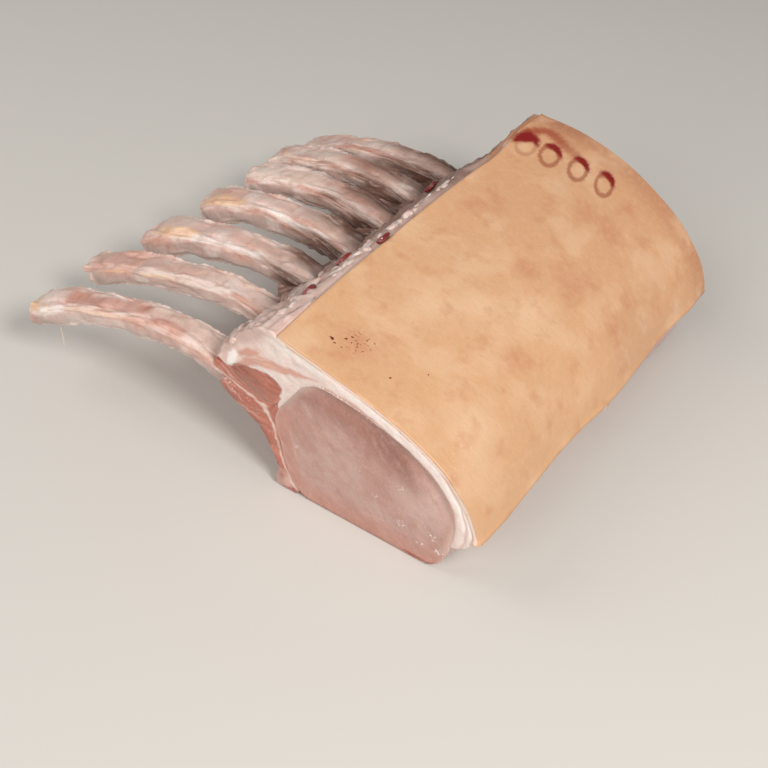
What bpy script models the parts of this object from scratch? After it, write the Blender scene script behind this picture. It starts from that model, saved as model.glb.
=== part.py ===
"""Rack of pork: a bone-in loin with its rind on and seven long, trimmed rib bones.

Frame: metres, +Z up. The rack runs along Y, with the cut that shows first at -Y. The ribs reach
out to -X and the rind covers the top and the +X side. The origin is the centre of the flat base
that the meat rests on.

Every section is drawn in the X-Z plane. The loin eye and the cap muscle are closed outlines, and
the fat and the rib meat follow those same outlines a hair's breadth away, so the pieces fit.
"""

import math
import random

import bmesh
import bpy
from mathutils import Vector

# ---------------------------------------------------------------- driving sizes, in metres
LENGTH = 0.242  # along the back, from cut to cut
GAP = 0.0004  # clearance between neighbouring pieces
RIB_COUNT = 7
CUT_DOME = 0.0014  # how far the soft muscles bulge out of the cut faces
FAR_BULGE = 0.0048  # how far the far cut bulges over the middle of the rind
FAR_SLANT = 0.0125  # how far it falls back again towards the back edge
HALF = LENGTH / 2

# The rind's outer side, from its edge above the ribs over the top to its edge along the back.
RIND_CURVE = [
    (-0.045, 0.1015), (-0.033, 0.0980), (-0.009, 0.0918), (0.014, 0.0855), (0.034, 0.0775),
    (0.051, 0.0670), (0.0625, 0.0535), (0.0685, 0.0415), (0.0710, 0.0325),
]
# The trimmed edge along the back: rind, then fat, stepping down and in to the eye's silver skin.
BACK_EDGE = [(0.0668, 0.0285), (0.0625, 0.0240), (0.0585, 0.0205)]
# The trimmed end above the ribs, from the rib joint up to the rind's edge.
STRIP_EDGE = [(-0.0830, 0.0690), (-0.0800, 0.0765), (-0.0680, 0.0885), (-0.0595, 0.0950),
              (-0.0505, 0.1002)]
# The loin eye, clockwise from its top left; its underside lies flat on z = 0.
EYE_CURVE = [
    (-0.0330, 0.0690), (-0.0270, 0.0765), (-0.0170, 0.0808), (0.0010, 0.0790), (0.0230, 0.0735),
    (0.0420, 0.0640), (0.0540, 0.0515), (0.0585, 0.0370), (0.0560, 0.0210), (0.0515, 0.0080),
    (0.0470, 0.0020),
]
BASE_EDGES = [(0.0430, 0.0), (-0.0300, 0.0)]  # where the flat underside starts and ends
EYE_LEFT = [
    (-0.0340, 0.0020), (-0.0385, 0.0090), (-0.0420, 0.0210), (-0.0440, 0.0330),
    (-0.0465, 0.0440), (-0.0435, 0.0540), (-0.0380, 0.0620),
]
# The darker cap muscle above the rib joint, clockwise from its pointed end.
CAP_CURVE = [
    (-0.0745, 0.0655), (-0.0680, 0.0705), (-0.0570, 0.0735), (-0.0460, 0.0735),
    (-0.0405, 0.0690), (-0.0420, 0.0610), (-0.0480, 0.0545), (-0.0560, 0.0545),
    (-0.0660, 0.0590),
]
# The chest side, from the rib joint down to the base.
CHEST_CURVE = [
    (-0.0855, 0.0610), (-0.0830, 0.0545), (-0.0770, 0.0480), (-0.0660, 0.0415),
    (-0.0560, 0.0350), (-0.0500, 0.0250), (-0.0460, 0.0140), (-0.0490, 0.0060),
    (-0.0480, 0.0010),
]

# Each rib: where it leaves the meat along Y, and its tip as X, Y, Z.
RIB_BASE_Y = [-0.1105, -0.0710, -0.0380, -0.0040, 0.0250, 0.0560, 0.0880]
RIB_TIPS = [
    (-0.206, -0.122, 0.042), (-0.206, -0.081, 0.043), (-0.195, -0.044, 0.047),
    (-0.185, -0.007, 0.052), (-0.179, 0.025, 0.056), (-0.187, 0.056, 0.049),
    (-0.188, 0.088, 0.040),
]
RIB_LIFT = [0.0, 0.0, 0.0015, 0.0025, 0.0040, 0.0020, -0.0035]  # how high each rib arches
RIB_SIZE = [1.00, 0.98, 1.14, 1.12, 1.08, 1.04, 0.98]  # each rib's girth against the usual one
RIB_KNOB = [0.20, 0.16, 0.30, 0.24, 0.12, 0.12, 0.10]  # how much each rib swells at its tip
RIB_ROOT = (-0.0700, 0.0530)  # X and Z of the inner end, in its socket in the rib meat
RIB_BEND_NEAR = (-0.1000, 0.0665)  # the two control points that arch every rib
RIB_BEND_FAR = (-0.1500, 0.0665)
RIB_HALF_WIDTH = 0.0094  # along the rack
RIB_HALF_DEPTH = 0.0060  # from chest side to outer side
RIB_SQUARENESS = 0.62  # 1 is an oval rib, less is a flatter-sided one
RIB_RINGS = 16
RIB_SIDES = 12
FINE_STATIONS = 39  # sections along the rack where the ribs shape the meat
COARSE_STATIONS = 20  # every second one of those, for the loin eye

SCALLOP_IN = 0.0130  # how far the strip above the ribs draws back between two ribs
LEDGE_IN = 0.0030  # how far the rib meat below it draws back, which leaves a small ledge
SCALLOP_START = -0.0600  # X where the drawing back starts, and where it is complete
SCALLOP_FULL = -0.0860
RIDGE = 0.0030  # how far a rib stands proud under the chest lining
WAVE = 0.0012  # slow unevenness of the trimmed edges
RIND_BOW = 0.0040  # how far the rind's edge above the ribs bows out in the middle
TRIM_IN = 0.0155  # how far the strip above the ribs is trimmed away at the far end
TRIM_START = 0.0620  # Y where that trimming starts, and where it is complete
TRIM_FULL = 0.0920


# ---------------------------------------------------------------- curves
def spline(points, count, closed=False):
    """count points evenly spaced along a Catmull-Rom curve through points."""
    knots = [Vector(p) for p in points]
    last = len(knots)
    spans = last if closed else last - 1

    def knot(i):
        if closed:
            return knots[i % last]
        if i < 0:
            return knots[0] * 2 - knots[1]
        if i >= last:
            return knots[-1] * 2 - knots[-2]
        return knots[i]

    dense = []
    steps = 16
    for span in range(spans):
        a, b, c, d = (knot(span + k) for k in (-1, 0, 1, 2))
        for step in range(steps):
            t = step / steps
            dense.append(
                0.5 * (2 * b + (c - a) * t + (2 * a - 5 * b + 4 * c - d) * t * t
                       + (3 * b - a - 3 * c + d) * t ** 3)
            )
    dense.append(knots[0] if closed else knots[-1])
    return even(dense, count, closed)


def even(line, count, closed=False):
    """The line resampled to count evenly spaced points."""
    reach = [0.0]
    for a, b in zip(line, line[1:]):
        reach.append(reach[-1] + (b - a).length)
    pieces = count if closed else count - 1
    made = []
    i = 0
    for k in range(count):
        want = reach[-1] * k / pieces
        while i < len(line) - 2 and reach[i + 1] < want:
            i += 1
        span = reach[i + 1] - reach[i]
        made.append(line[i].lerp(line[i + 1], (want - reach[i]) / span if span else 0.0))
    return made


def pushed_out(loop, distance):
    """A closed clockwise line moved outwards."""
    made = []
    for i, p in enumerate(loop):
        along = loop[(i + 1) % len(loop)] - loop[i - 1]
        side = Vector((-along.y, along.x)).normalized()
        made.append(p + side * distance)
    return made


def smooth(t):
    t = max(0.0, min(1.0, t))
    return t * t * (3 - 2 * t)


# ---------------------------------------------------------------- the section's outlines
RIND_POINTS = 22
CHEST_POINTS = 14
EYE_TOP_POINTS = 21
EYE_LEFT_POINTS = 12
CAP_TOP_POINTS = 9
CAP_LOW_POINTS = 7
EYE_TOP = spline(EYE_CURVE, EYE_TOP_POINTS)
EYE_SIDE = spline(EYE_LEFT, EYE_LEFT_POINTS)
EYE_LINE = EYE_TOP + [Vector(p) for p in BASE_EDGES] + EYE_SIDE
CAP_LINE = spline(CAP_CURVE, CAP_TOP_POINTS + CAP_LOW_POINTS, closed=True)
ROUND_EYE = pushed_out(EYE_LINE, GAP)
ROUND_CAP = pushed_out(CAP_LINE, GAP)
FAT_END_INDEX = EYE_TOP_POINTS - 4  # the fat stops short of the eye's foot
SEAM_POINTS = 2  # points of the eye's left side that the seam of fat reaches down to


def eye_outline():
    return EYE_LINE


def cap_outline():
    return CAP_LINE


def fat_outline():
    """Rind and fat as one piece, with the seam of fat that runs down between the two muscles."""
    rind = spline(RIND_CURVE, RIND_POINTS)
    back = [Vector(p) for p in BACK_EDGE]
    over_eye = ROUND_EYE[:FAT_END_INDEX]
    down_seam = ROUND_EYE[-SEAM_POINTS:]
    over_cap = ROUND_CAP[:CAP_TOP_POINTS]
    strip = [Vector(p) for p in STRIP_EDGE]
    joint = [Vector((-0.0775, 0.0665))]
    return rind + back + over_eye[::-1] + down_seam[::-1] + over_cap[::-1] + joint + strip


def rib_meat_outline():
    """The thin meat on the chest side that carries the ribs, down to the chine cut."""
    chest = spline(CHEST_CURVE, CHEST_POINTS)
    beside_eye = ROUND_EYE[EYE_TOP_POINTS + len(BASE_EDGES):-SEAM_POINTS - 1]
    under_cap = ROUND_CAP[CAP_TOP_POINTS + 1:]
    foot = [Vector((-0.0440, 0.0)), Vector((-0.0365, 0.0))]
    joint = [Vector((-0.0790, 0.0655)), Vector((-0.0835, 0.0655))]
    return chest + foot + beside_eye + under_cap + joint


# ---------------------------------------------------------------- how a section changes along Y
def rib_nearness(y):
    """1 on a rib's line, 0 half way between two ribs and beyond the last one."""
    best = 0.0
    for i, centre in enumerate(RIB_BASE_Y):
        before = RIB_BASE_Y[i - 1] if i else centre - 0.060
        after = RIB_BASE_Y[i + 1] if i + 1 < RIB_COUNT else centre + 0.032
        reach = (after - centre if y > centre else centre - before) / 2
        best = max(best, 0.5 + 0.5 * math.cos(math.pi * min(1.0, abs(y - centre) / reach)))
    return best


def far_cut(x):
    """How far the cut at the far end stands out of (or back from) the plane y = HALF."""
    towards_strip = smooth((-0.018 - x) / 0.030)
    towards_back = smooth((x + 0.012) / 0.078)
    return FAR_BULGE * (1 - towards_strip) - FAR_SLANT * towards_back


def placed(point, y, ridged=False):
    """A point of the section, as it lies at this place along the rack."""
    x, z = point
    along = (y + HALF) / LENGTH
    near = rib_nearness(y)
    above_ribs = smooth((z - 0.0655) / 0.010)
    beside_ribs = smooth((z - 0.040) / 0.020)
    drawn = smooth((SCALLOP_START - x) / (SCALLOP_START - SCALLOP_FULL)) * (1 - near)
    inwards = drawn * (LEDGE_IN * beside_ribs + (SCALLOP_IN - LEDGE_IN) * above_ribs)
    trimmed = smooth((y - TRIM_START) / (TRIM_FULL - TRIM_START)) * smooth((z - 0.058) / 0.015)
    inwards += trimmed * (TRIM_IN * smooth((-0.046 - x) / 0.040) - inwards)
    inwards -= RIND_BOW * math.sin(math.pi * along) * smooth(-x / 0.045) * smooth((z - 0.078) / 0.014)
    inwards += WAVE * math.sin(4.3 * math.pi * along + 0.6) * smooth((x - 0.035) / 0.03)
    lowered = 0.0
    if ridged:
        ridge = RIDGE * near ** 2 * smooth((z - 0.006) / 0.012) * smooth((0.058 - z) / 0.008)
        inwards -= 0.75 * ridge
        lowered = 0.60 * ridge
    made_y = y + far_cut(x) * smooth(2 * along - 1)
    return Vector((x + inwards, made_y, max(0.0, z - lowered)))


# ---------------------------------------------------------------- meshes
def add_object(name, bm, material):
    bmesh.ops.remove_doubles(bm, verts=bm.verts, dist=1e-6)
    bmesh.ops.recalc_face_normals(bm, faces=bm.faces)
    mesh = bpy.data.meshes.new(name)
    bm.to_mesh(mesh)
    bm.free()
    mesh.materials.append(material)
    mesh.shade_smooth()
    mesh.set_sharp_from_angle(angle=math.radians(40))
    thing = bpy.data.objects.new(name, mesh)
    bpy.context.scene.collection.objects.link(thing)
    return thing


def loft(name, rings, material):
    """A closed body through rings of equal length, with a face over each end.

    Each four-sided facet is split along its shorter diagonal, so that the two sides of a joint
    between neighbours are split alike.
    """
    bm = bmesh.new()
    rows = [[bm.verts.new(p) for p in ring] for ring in rings]
    sides = len(rings[0])
    for a, b in zip(rows, rows[1:]):
        for k in range(sides):
            n = (k + 1) % sides
            if (a[k].co - b[n].co).length <= (a[n].co - b[k].co).length:
                corners = ((a[k], a[n], b[n]), (a[k], b[n], b[k]))
            else:
                corners = ((a[k], a[n], b[k]), (a[n], b[n], b[k]))
            for three in corners:
                bm.faces.new(three)
    bm.faces.new(rows[0])
    bm.faces.new(rows[-1])
    return add_object(name, bm, material)


def stations(count):
    """Places along Y, closer together near the two cuts."""
    made = []
    for k in range(count):
        t = k / (count - 1)
        made.append(-HALF + LENGTH * (0.85 * t + 0.15 * smooth(t)))
    return made


def sweep(name, outline, count, material, ridged=False, dome=0.0):
    """The outline carried along Y. A dome adds smaller rings that bulge out of the cuts."""
    rings = [[placed(p, y, ridged) for p in outline] for y in stations(count)]
    if dome:
        for end, out in ((0, -1), (-1, 1)):
            rim = rings[end]
            middle = sum(rim, Vector()) / len(rim)
            inner = []
            for shrink, rise in ((0.90, 0.65), (0.68, 1.0)):
                ring = [middle.lerp(p, shrink) + Vector((0, out * rise * dome, 0)) for p in rim]
                inner.append(ring)
            rings = inner[::-1] + rings if end == 0 else rings + inner
    return loft(name, rings, material)


def rib_axis(index, t):
    """A point on a rib's centre line, from its socket at t = 0 to its tip at t = 1."""
    tip = Vector(RIB_TIPS[index])
    base_y = RIB_BASE_Y[index]
    lean = 0.4 * (tip.y - base_y)
    lift = RIB_LIFT[index]
    knots = [
        Vector((RIB_ROOT[0], base_y, RIB_ROOT[1])),
        Vector((RIB_BEND_NEAR[0], base_y, RIB_BEND_NEAR[1] + lift)),
        Vector((RIB_BEND_FAR[0], base_y + lean, RIB_BEND_FAR[1] + lift)),
        tip,
    ]
    weights = ((1 - t) ** 3, 3 * t * (1 - t) ** 2, 3 * t * t * (1 - t), t ** 3)
    return sum((k * w for k, w in zip(knots, weights)), Vector())


def rib_girth(index, t):
    """Half width and half depth of a rib: flared at the meat, waisted, and knobbed at the tip."""
    draw = random.Random(100 + index)
    beat = draw.uniform(0.0, 2 * math.pi)
    flare = 0.22 * math.exp(-(((t - 0.20) / 0.14) ** 2))
    knob = RIB_KNOB[index] * math.exp(-(((t - 0.93) / 0.10) ** 2))
    uneven = 0.05 * math.sin(9.0 * t + beat) + 0.03 * math.sin(21.0 * t + 2 * beat)
    socket = -0.18 * (1 - smooth(t / 0.12))
    width = RIB_HALF_WIDTH * RIB_SIZE[index] * (1 + flare + knob + uneven + socket)
    depth = RIB_HALF_DEPTH * RIB_SIZE[index] * (1 + 0.6 * flare + knob - uneven + socket)
    return width, depth


def rib(index, material, grow=0.0, name=None, last=1.0):
    """One rib bone. grow makes it fatter all round, for the socket that it sits in."""
    rings = []
    for k in range(RIB_RINGS):
        t = last * k / (RIB_RINGS - 1)
        here = rib_axis(index, t)
        along = (rib_axis(index, t + 0.01) - rib_axis(index, t - 0.01)).normalized()
        across = along.cross(Vector((0, 0, 1))).normalized()
        up = across.cross(along)
        width, depth = rib_girth(index, t)
        if k == 0:
            here = here - along * grow
        ring = []
        for s in range(RIB_SIDES):
            turn = 2 * math.pi * s / RIB_SIDES
            c, n = math.cos(turn), math.sin(turn)
            side = math.copysign(abs(c) ** RIB_SQUARENESS, c) * (width + grow)
            rise = math.copysign(abs(n) ** RIB_SQUARENESS, n) * (depth + grow)
            ring.append(here + across * side + up * rise)
        rings.append(ring)
    if last == 1.0:  # a worn, rounded end
        centre = rib_axis(index, 1.0)
        ahead = (centre - rib_axis(index, 0.97)).normalized()
        rings.append([centre.lerp(p, 0.72) + ahead * 0.0030 for p in rings[-1]])
        rings.append([centre.lerp(p, 0.36) + ahead * 0.0044 for p in rings[-2]])
    return loft(name or f"rib_{index + 1}", rings, material)


# ---------------------------------------------------------------- materials
def finish(name, colour, roughness):
    material = bpy.data.materials.new(name)
    material.use_nodes = True
    shader = material.node_tree.nodes["Principled BSDF"]
    shader.inputs["Base Color"].default_value = (*colour, 1.0)
    shader.inputs["Roughness"].default_value = roughness
    shader.inputs["Metallic"].default_value = 0.0
    return material


def socket_cutters(material):
    """Slightly fat copies of the ribs' inner ends, gathered in a collection to cut with."""
    group = bpy.data.collections.new("socket_cutters")
    bpy.context.scene.collection.children.link(group)
    for index in range(RIB_COUNT):
        cutter = rib(index, material, grow=GAP, name=f"socket_{index + 1}", last=0.55)
        bpy.context.scene.collection.objects.unlink(cutter)
        group.objects.link(cutter)
        cutter.hide_render = True
        cutter.display_type = "WIRE"
    return group


def build():
    for old in list(bpy.data.objects):
        bpy.data.objects.remove(old, do_unlink=True)
    rind_fat = finish("rind_fat", (0.72, 0.47, 0.28), 0.45)
    pale_meat = finish("pale_meat", (0.60, 0.33, 0.28), 0.35)
    dark_meat = finish("dark_meat", (0.42, 0.17, 0.13), 0.35)
    chest_meat = finish("chest_meat", (0.52, 0.25, 0.21), 0.35)
    bone = finish("bone", (0.70, 0.50, 0.44), 0.40)

    fat = sweep("fat_cap", fat_outline(), FINE_STATIONS, rind_fat)
    sweep("loin_eye", eye_outline(), COARSE_STATIONS, pale_meat, dome=CUT_DOME)
    cap = sweep("cap_muscle", cap_outline(), FINE_STATIONS, dark_meat, dome=CUT_DOME)
    meat = sweep("rib_meat", rib_meat_outline(), FINE_STATIONS, chest_meat, ridged=True)
    for index in range(RIB_COUNT):
        rib(index, bone)
    cutters = socket_cutters(bone)
    for thing in (fat, cap, meat):
        cut = thing.modifiers.new("sockets", "BOOLEAN")
        cut.operation = "DIFFERENCE"
        cut.operand_type = "COLLECTION"
        cut.collection = cutters


build()
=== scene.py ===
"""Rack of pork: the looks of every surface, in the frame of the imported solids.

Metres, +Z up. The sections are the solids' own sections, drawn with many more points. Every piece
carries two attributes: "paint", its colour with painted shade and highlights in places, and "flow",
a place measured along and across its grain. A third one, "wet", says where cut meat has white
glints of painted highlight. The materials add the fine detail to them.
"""

import math

import bpy
import numpy as np
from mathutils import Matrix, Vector


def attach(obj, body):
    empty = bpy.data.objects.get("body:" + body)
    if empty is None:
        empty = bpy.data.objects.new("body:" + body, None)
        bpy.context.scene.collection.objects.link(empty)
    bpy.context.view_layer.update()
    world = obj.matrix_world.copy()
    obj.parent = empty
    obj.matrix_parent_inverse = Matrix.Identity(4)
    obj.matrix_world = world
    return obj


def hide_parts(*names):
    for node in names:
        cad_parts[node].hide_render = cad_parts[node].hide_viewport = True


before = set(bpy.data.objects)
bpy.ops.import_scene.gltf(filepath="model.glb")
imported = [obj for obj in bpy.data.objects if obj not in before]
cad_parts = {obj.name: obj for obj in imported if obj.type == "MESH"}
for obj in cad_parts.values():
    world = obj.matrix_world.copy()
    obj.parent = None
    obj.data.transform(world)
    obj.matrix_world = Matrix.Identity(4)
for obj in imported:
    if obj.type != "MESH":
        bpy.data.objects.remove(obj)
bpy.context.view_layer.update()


def mm(*rows):
    """Rows of millimetres, as rows of metres."""
    return [tuple(value / 1000 for value in row) for row in rows]


# ---------------- the solids' sizes
# Lines of the section give X and Z.
LENGTH = 0.242
HALF = LENGTH / 2
RIND_CURVE = mm(
    (-45, 101.5), (-33, 98), (-9, 91.8), (14, 85.5), (34, 77.5), (51, 67), (62.5, 53.5), (68.5, 41.5),
    (71, 32.5),
)
BACK_EDGE = mm((58, 20.5), (62.5, 24), (68, 31))
STRIP_EDGE = mm(
    (-77.5, 66.5), (-83, 69), (-80, 76.5), (-68, 88.5), (-59.5, 95), (-50.5, 100.2), (-45.5, 99.6),
)
EYE_CURVE = mm(
    (-34, 2), (-38.5, 9), (-42, 21), (-44, 33), (-46.5, 44), (-43.5, 54), (-38, 62), (-33, 69),
    (-27, 76.5), (-17, 80.8), (1, 79), (23, 73.5), (42, 64), (54, 51.5), (58.5, 37), (56, 21),
    (51.5, 8), (47, 2),
)
EYE_FOOT = mm((-34, 2), (-30, 0), (43, 0), (47, 2))
CAP_CURVE = mm(
    (-74.5, 65.5), (-68, 70.5), (-57, 73.5), (-46, 73.5), (-40.5, 69), (-42, 61), (-48, 54.5),
    (-56, 54.5), (-66, 59),
)
CHEST_CURVE = mm(
    (-48, 1), (-49, 6), (-46, 14), (-50, 25), (-56, 35), (-66, 41.5), (-77, 48), (-83, 54.5),
    (-85.5, 61),
)
FOOT = mm((-48, 1), (-44, 0), (-36.5, 0))
JOINT = mm((-85.5, 61), (-83.5, 65.5), (-79, 65.5))
KNOT = (-0.044, 0.057)  # where the seam of fat between the two muscles ends

RIB_BASE_Y = [-0.1105, -0.071, -0.038, -0.004, 0.025, 0.056, 0.088]
RIB_TIPS = mm(
    (-206, -122, 42), (-206, -81, 43), (-195, -44, 47), (-185, -7, 52), (-179, 25, 56), (-187, 56, 49),
    (-188, 88, 40),
)
RIB_COUNT = len(RIB_TIPS)
RIB_LIFT = [0.0, 0.0, 0.0015, 0.0025, 0.004, 0.002, -0.0035]
RIB_SIZE = [1.0, 0.98, 1.14, 1.12, 1.08, 1.04, 0.98]
RIB_KNOB = [0.2, 0.16, 0.3, 0.24, 0.12, 0.12, 0.1]
RIB_ROOT = (-0.07, 0.053)
RIB_BEND_NEAR = (-0.1, 0.0665)
RIB_BEND_FAR = (-0.15, 0.0665)
RIB_HALF_WIDTH = 0.0094
RIB_HALF_DEPTH = 0.006
RIB_SQUARENESS = 0.62

FAR_BULGE = 0.0048
FAR_SLANT = 0.0125
SCALLOP_IN = 0.013
LEDGE_IN = 0.003
SCALLOP_START = -0.06
SCALLOP_FULL = -0.086
RIDGE = 0.003
WAVE = 0.0012
RIND_BOW = 0.004
TRIM_IN = 0.0155
TRIM_START = 0.062
TRIM_FULL = 0.092

CORNER_ROUND = 0.0014
RIND_THICK = 0.0021
RIND_START = 0.0036  # how far over the curve the rind begins, from the near cut to the last ribs

# ---------------- what the cuts show
# Strokes in the section: X, Z and half the width at each point.
PINK_REGION = mm((-79, 69, 3), (-70, 79, 3), (-56, 83, 3))
STRIP_SIDE = mm((-79.5, 74, 1.4), (-71, 85, 3.4), (-61, 92.5, 5.2), (-53, 96.5, 4), (-47, 98.5, 1))
TOP_EDGE = mm((-50, 98.5, 0.6), (-44, 97.5, 0.8), (-33, 94.5, 0.2))
PINK_STRIP = mm(
    (-67.5, 71.2, 1), (-60, 76.2, 2.4), (-52, 79.7, 3.1), (-44.5, 80.3, 2.6), (-37, 81.1, 2.1),
    (-30, 82.4, 1.3), (-24, 83.4, 0.6), (-18.4, 84.5, 0.2),
)
STRIP_LIGHT = mm((-57, 77.5, 0.2), (-48, 79.2, 0.6), (-38, 80, 0.2))
PINK_PATCH = mm((-66.5, 77.5, 1.2), (-60, 81.5, 2.4), (-54.5, 83.8, 1.2))
STRIP_SINEW = mm((-66, 74.8, 0.2), (-58, 79.5, 0.4), (-48, 82.2, 0.2))
EDGE_STRIP = mm((-19, 82.6, 0.2), (-10, 82.3, 0.9), (2, 80.6, 1.4), (13, 78.2, 0.8), (21, 75.7, 0.2))
WHITE_LUMP = mm((-73.5, 69.5, 2.2), (-72.2, 74, 3.4), (-70.5, 78, 1.8))
CAP_RIM = mm(
    (-70, 70.6, 0.3), (-62, 73.3, 0.6), (-52, 74.5, 0.9), (-44, 73.5, 1.1), (-40, 69, 1),
    (-41.5, 62, 0.6),
)
BAND_SINEW = mm(
    (-80, 60, 0.4), (-73.5, 57.2, 0.6), (-65, 54.5, 0.5), (-58, 52.5, 0.6), (-52, 50.5, 1.5),
    (-49.8, 46.5, 1), (-47.8, 41, 0.5), (-46.2, 33, 0.5), (-44.2, 23.5, 0.5), (-41, 13.5, 0.5),
    (-37.2, 4.5, 0.5), (-34.5, 1, 0.3),
)
BAND_STREAKS = [
    mm((-79, 64, 0.3), (-73.5, 60.3, 0.6), (-66, 56.7, 0.2)),
    mm((-79, 56, 0.3), (-73, 51, 0.6), (-65, 47.5, 0.2)),
    mm((-70, 45, 0.2), (-62, 42.5, 0.4), (-56, 41, 0.2)),
]
SLIT = mm((-48.8, 50.8, 0.3), (-46.6, 53.4, 0.6), (-45.2, 55.2, 0.2))
LIP_GROOVES = [
    mm((60.5, 20, 0.8), (63.2, 29, 0.6), (64, 39, 0.4), (60.5, 50, 0.2), (53, 61, 0.1)),
    mm((66.5, 26.2, 0.7), (68.1, 34, 0.5), (66.2, 43, 0.3), (60, 54.5, 0.1)),
]
BLOOD_BITS = [
    mm((30, 1.6, 0.4), (38, 1.8, 1.6), (45, 1.6, 0.4)),
    mm((-44, 1.6, 0.6), (-38, 1.8, 1.6), (-31, 1.4, 0.4)),
]
# Painted shade on the eye under the fat's proud lip, and the darkest part of that shade.
EYE_SHADE = mm((-30, 70, 5), (-12, 72, 7), (10, 68, 9), (24, 60, 8), (36, 50, 3))
EYE_SHADE_CORE = mm((12, 69, 1), (24, 64, 3), (33, 57, 1))
EYE_STREAKS = [
    mm((-28, 67, 0.2), (-24.3, 62, 0.5), (-21.2, 58.5, 0.1)),
    mm((-37.2, 45, 0.2), (-34.5, 30, 0.5), (-30, 17, 0.2)),
    mm((-12, 51.5, 0.1), (2, 49.8, 0.3), (14, 45.5, 0.1)),
    mm((6, 14, 0.1), (19, 16.5, 0.4), (33, 15, 0.1)),
]
# Glints: white dots of painted highlight on the wet cut, along the fat's edge over the eye, in spots and
# in a band on the rib meat.
GLINT_EDGE = mm(
    (-21, 82.2, 0.4), (-14, 82.2, 1.2), (-3, 80.6, 1.2), (4, 78.2, 1.8), (10, 76, 2), (15, 73.8, 0.6),
)
# X, Z and how far each reaches
GLINT_SPOTS = mm(
    (29, 44.2, 2.2), (14.5, 30.8, 1.6), (-33, 34.5, 2.2), (46, 21.5, 3), (30, 21, 3), (40, 14, 2.2),
    (50.5, 13, 3.2), (4, 42, 1.4),
)
EYE_GREY = (0.043, 0.04, 0.022)  # a paler spot in the eye: X, Z and how far it reaches
RED_SPOT = (-0.0445, 0.0085, 0.0035)  # a dark spot at the rib meat's foot
FOOT_BULGE = mm((-45, 4, 2), (-41, 4, 2))  # where that foot swells on the cuts
GLINT_BAND = mm((-80, 58.5, 1), (-70, 52, 2), (-60, 47.5, 1.4), (-53, 42, 0.8))


# ---------------- numbers
def smooth(t):
    """From 0 to 1 without a kink at either end."""
    t = np.clip(t, 0.0, 1.0)
    return t * t * (3 - 2 * t)


def past(value, start, reach):
    """0 up to the start, rising smoothly to 1 at that reach past it."""
    return smooth((value - start) / reach)


def short_of(value, end, reach):
    """0 from the end on, rising smoothly to 1 at that reach short of it."""
    return smooth((end - value) / reach)


def within(distance, reach):
    """1 at no distance, falling smoothly to 0 at that reach."""
    return smooth(1 - distance / reach)


def near(value, centre, reach):
    """1 at the centre, falling smoothly to 0 at that distance from it."""
    return within(np.abs(value - centre), reach)


def blend(a, b, amount):
    """From a to b; the amount holds one number for every point."""
    amount = np.asarray(amount, float)[..., None]
    return a * (1 - amount) + b * amount


def layered(tone, layers):
    """A tone with other colours laid over it, each by its own amount."""
    for tint, amount in layers:
        tone = blend(tone, tint, amount)
    return tone


def cell_value(cells, seed):
    """A fixed number from -1 to 1 for every cell of space."""
    x, y, z = (cells[..., k].astype(np.int64) for k in range(3))
    mixed = (x * 73856093) ^ (y * 19349663) ^ (z * 83492791) ^ (seed * 26544357)
    mixed = ((mixed ^ (mixed >> 13)) * 1274126177) & 0xFFFFFFFF
    mixed = ((mixed ^ (mixed >> 15)) * 668265263) & 0xFFFFFFFF
    return (mixed & 0xFFFF) / 32767.5 - 1


def noise(places, size, seed=0):
    """Smooth noise from -1 to 1. The size is the cells', one number or one for each axis."""
    scaled = places / np.asarray(size, float)
    cell = np.floor(scaled)
    t = smooth(scaled - cell)
    total = np.zeros(scaled.shape[:-1])
    for corner in np.ndindex(2, 2, 2):
        weight = np.prod(np.where(corner, t, 1 - t), axis=-1)
        total += weight * cell_value(cell + corner, seed)
    return total


def rough(places, size, seed, layers=3):
    """Noise with finer and weaker noise added to it."""
    total = 0.0
    for layer in range(layers):
        total = total + noise(places, np.asarray(size, float) / 2 ** layer, seed + layer) / 1.9 ** layer
    return total


def colour(red, green, blue):
    """A colour as screens name it, from 0 to 255, in linear values."""
    shown = np.array((red, green, blue)) / 255
    return np.where(shown <= 0.04045, shown / 12.92, ((shown + 0.055) / 1.055) ** 2.4)


# ---------------- lines
SPLINE_STEPS = 16


def along(line, fractions):
    """Points of a line at those fractions of its length."""
    line = np.asarray(line, float)
    reach = np.concatenate([[0.0], np.cumsum(np.linalg.norm(np.diff(line, axis=0), axis=1))])
    want = np.asarray(fractions) * reach[-1]
    return np.stack([np.interp(want, reach, line[:, k]) for k in range(line.shape[1])], -1)


def spline(points, closed=False):
    """A Catmull-Rom curve through points."""
    knots = np.array(points, float)
    if closed:
        knots = np.vstack([knots[-1:], knots, knots[:2]])
    else:
        knots = np.vstack([2 * knots[0] - knots[1], knots, 2 * knots[-1] - knots[-2]])
    a, b, c, d = (knots[k:len(knots) - 3 + k, None] for k in range(4))
    t = np.linspace(0, 1, SPLINE_STEPS, endpoint=False)[:, None]
    curve = 0.5 * (2 * b + (c - a) * t + (2 * a - 5 * b + 4 * c - d) * t ** 2
                   + (3 * b - a - 3 * c + d) * t ** 3)
    return np.vstack([curve.reshape(-1, knots.shape[1]), knots[-2]])


def part_of(line, start, end):
    """The part of a line between its points nearest to start and end, in that order."""
    first, last = (int(np.argmin(np.linalg.norm(line - p, axis=1))) for p in (start, end))
    return line[first:last + 1] if first <= last else line[last:first + 1][::-1]


def stroke(places, points):
    """How deep each place lies inside a stroke of changing width; negative outside it."""
    best = np.full(places.shape[:-1], -1.0)
    points = np.asarray(points, float)
    for start, end in zip(points, points[1:]):
        step = end[:2] - start[:2]
        t = np.clip((places - start[:2]) @ step / max(step @ step, 1e-16), 0, 1)
        away = np.linalg.norm(places - start[:2] - t[..., None] * step, axis=-1)
        best = np.maximum(best, start[2] + t * (end[2] - start[2]) - away)
    return best


def inked(places, points, soft):
    """1 inside a stroke and 0 outside it, with a soft edge."""
    return smooth(0.5 + stroke(places, points) / (2 * soft))


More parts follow.
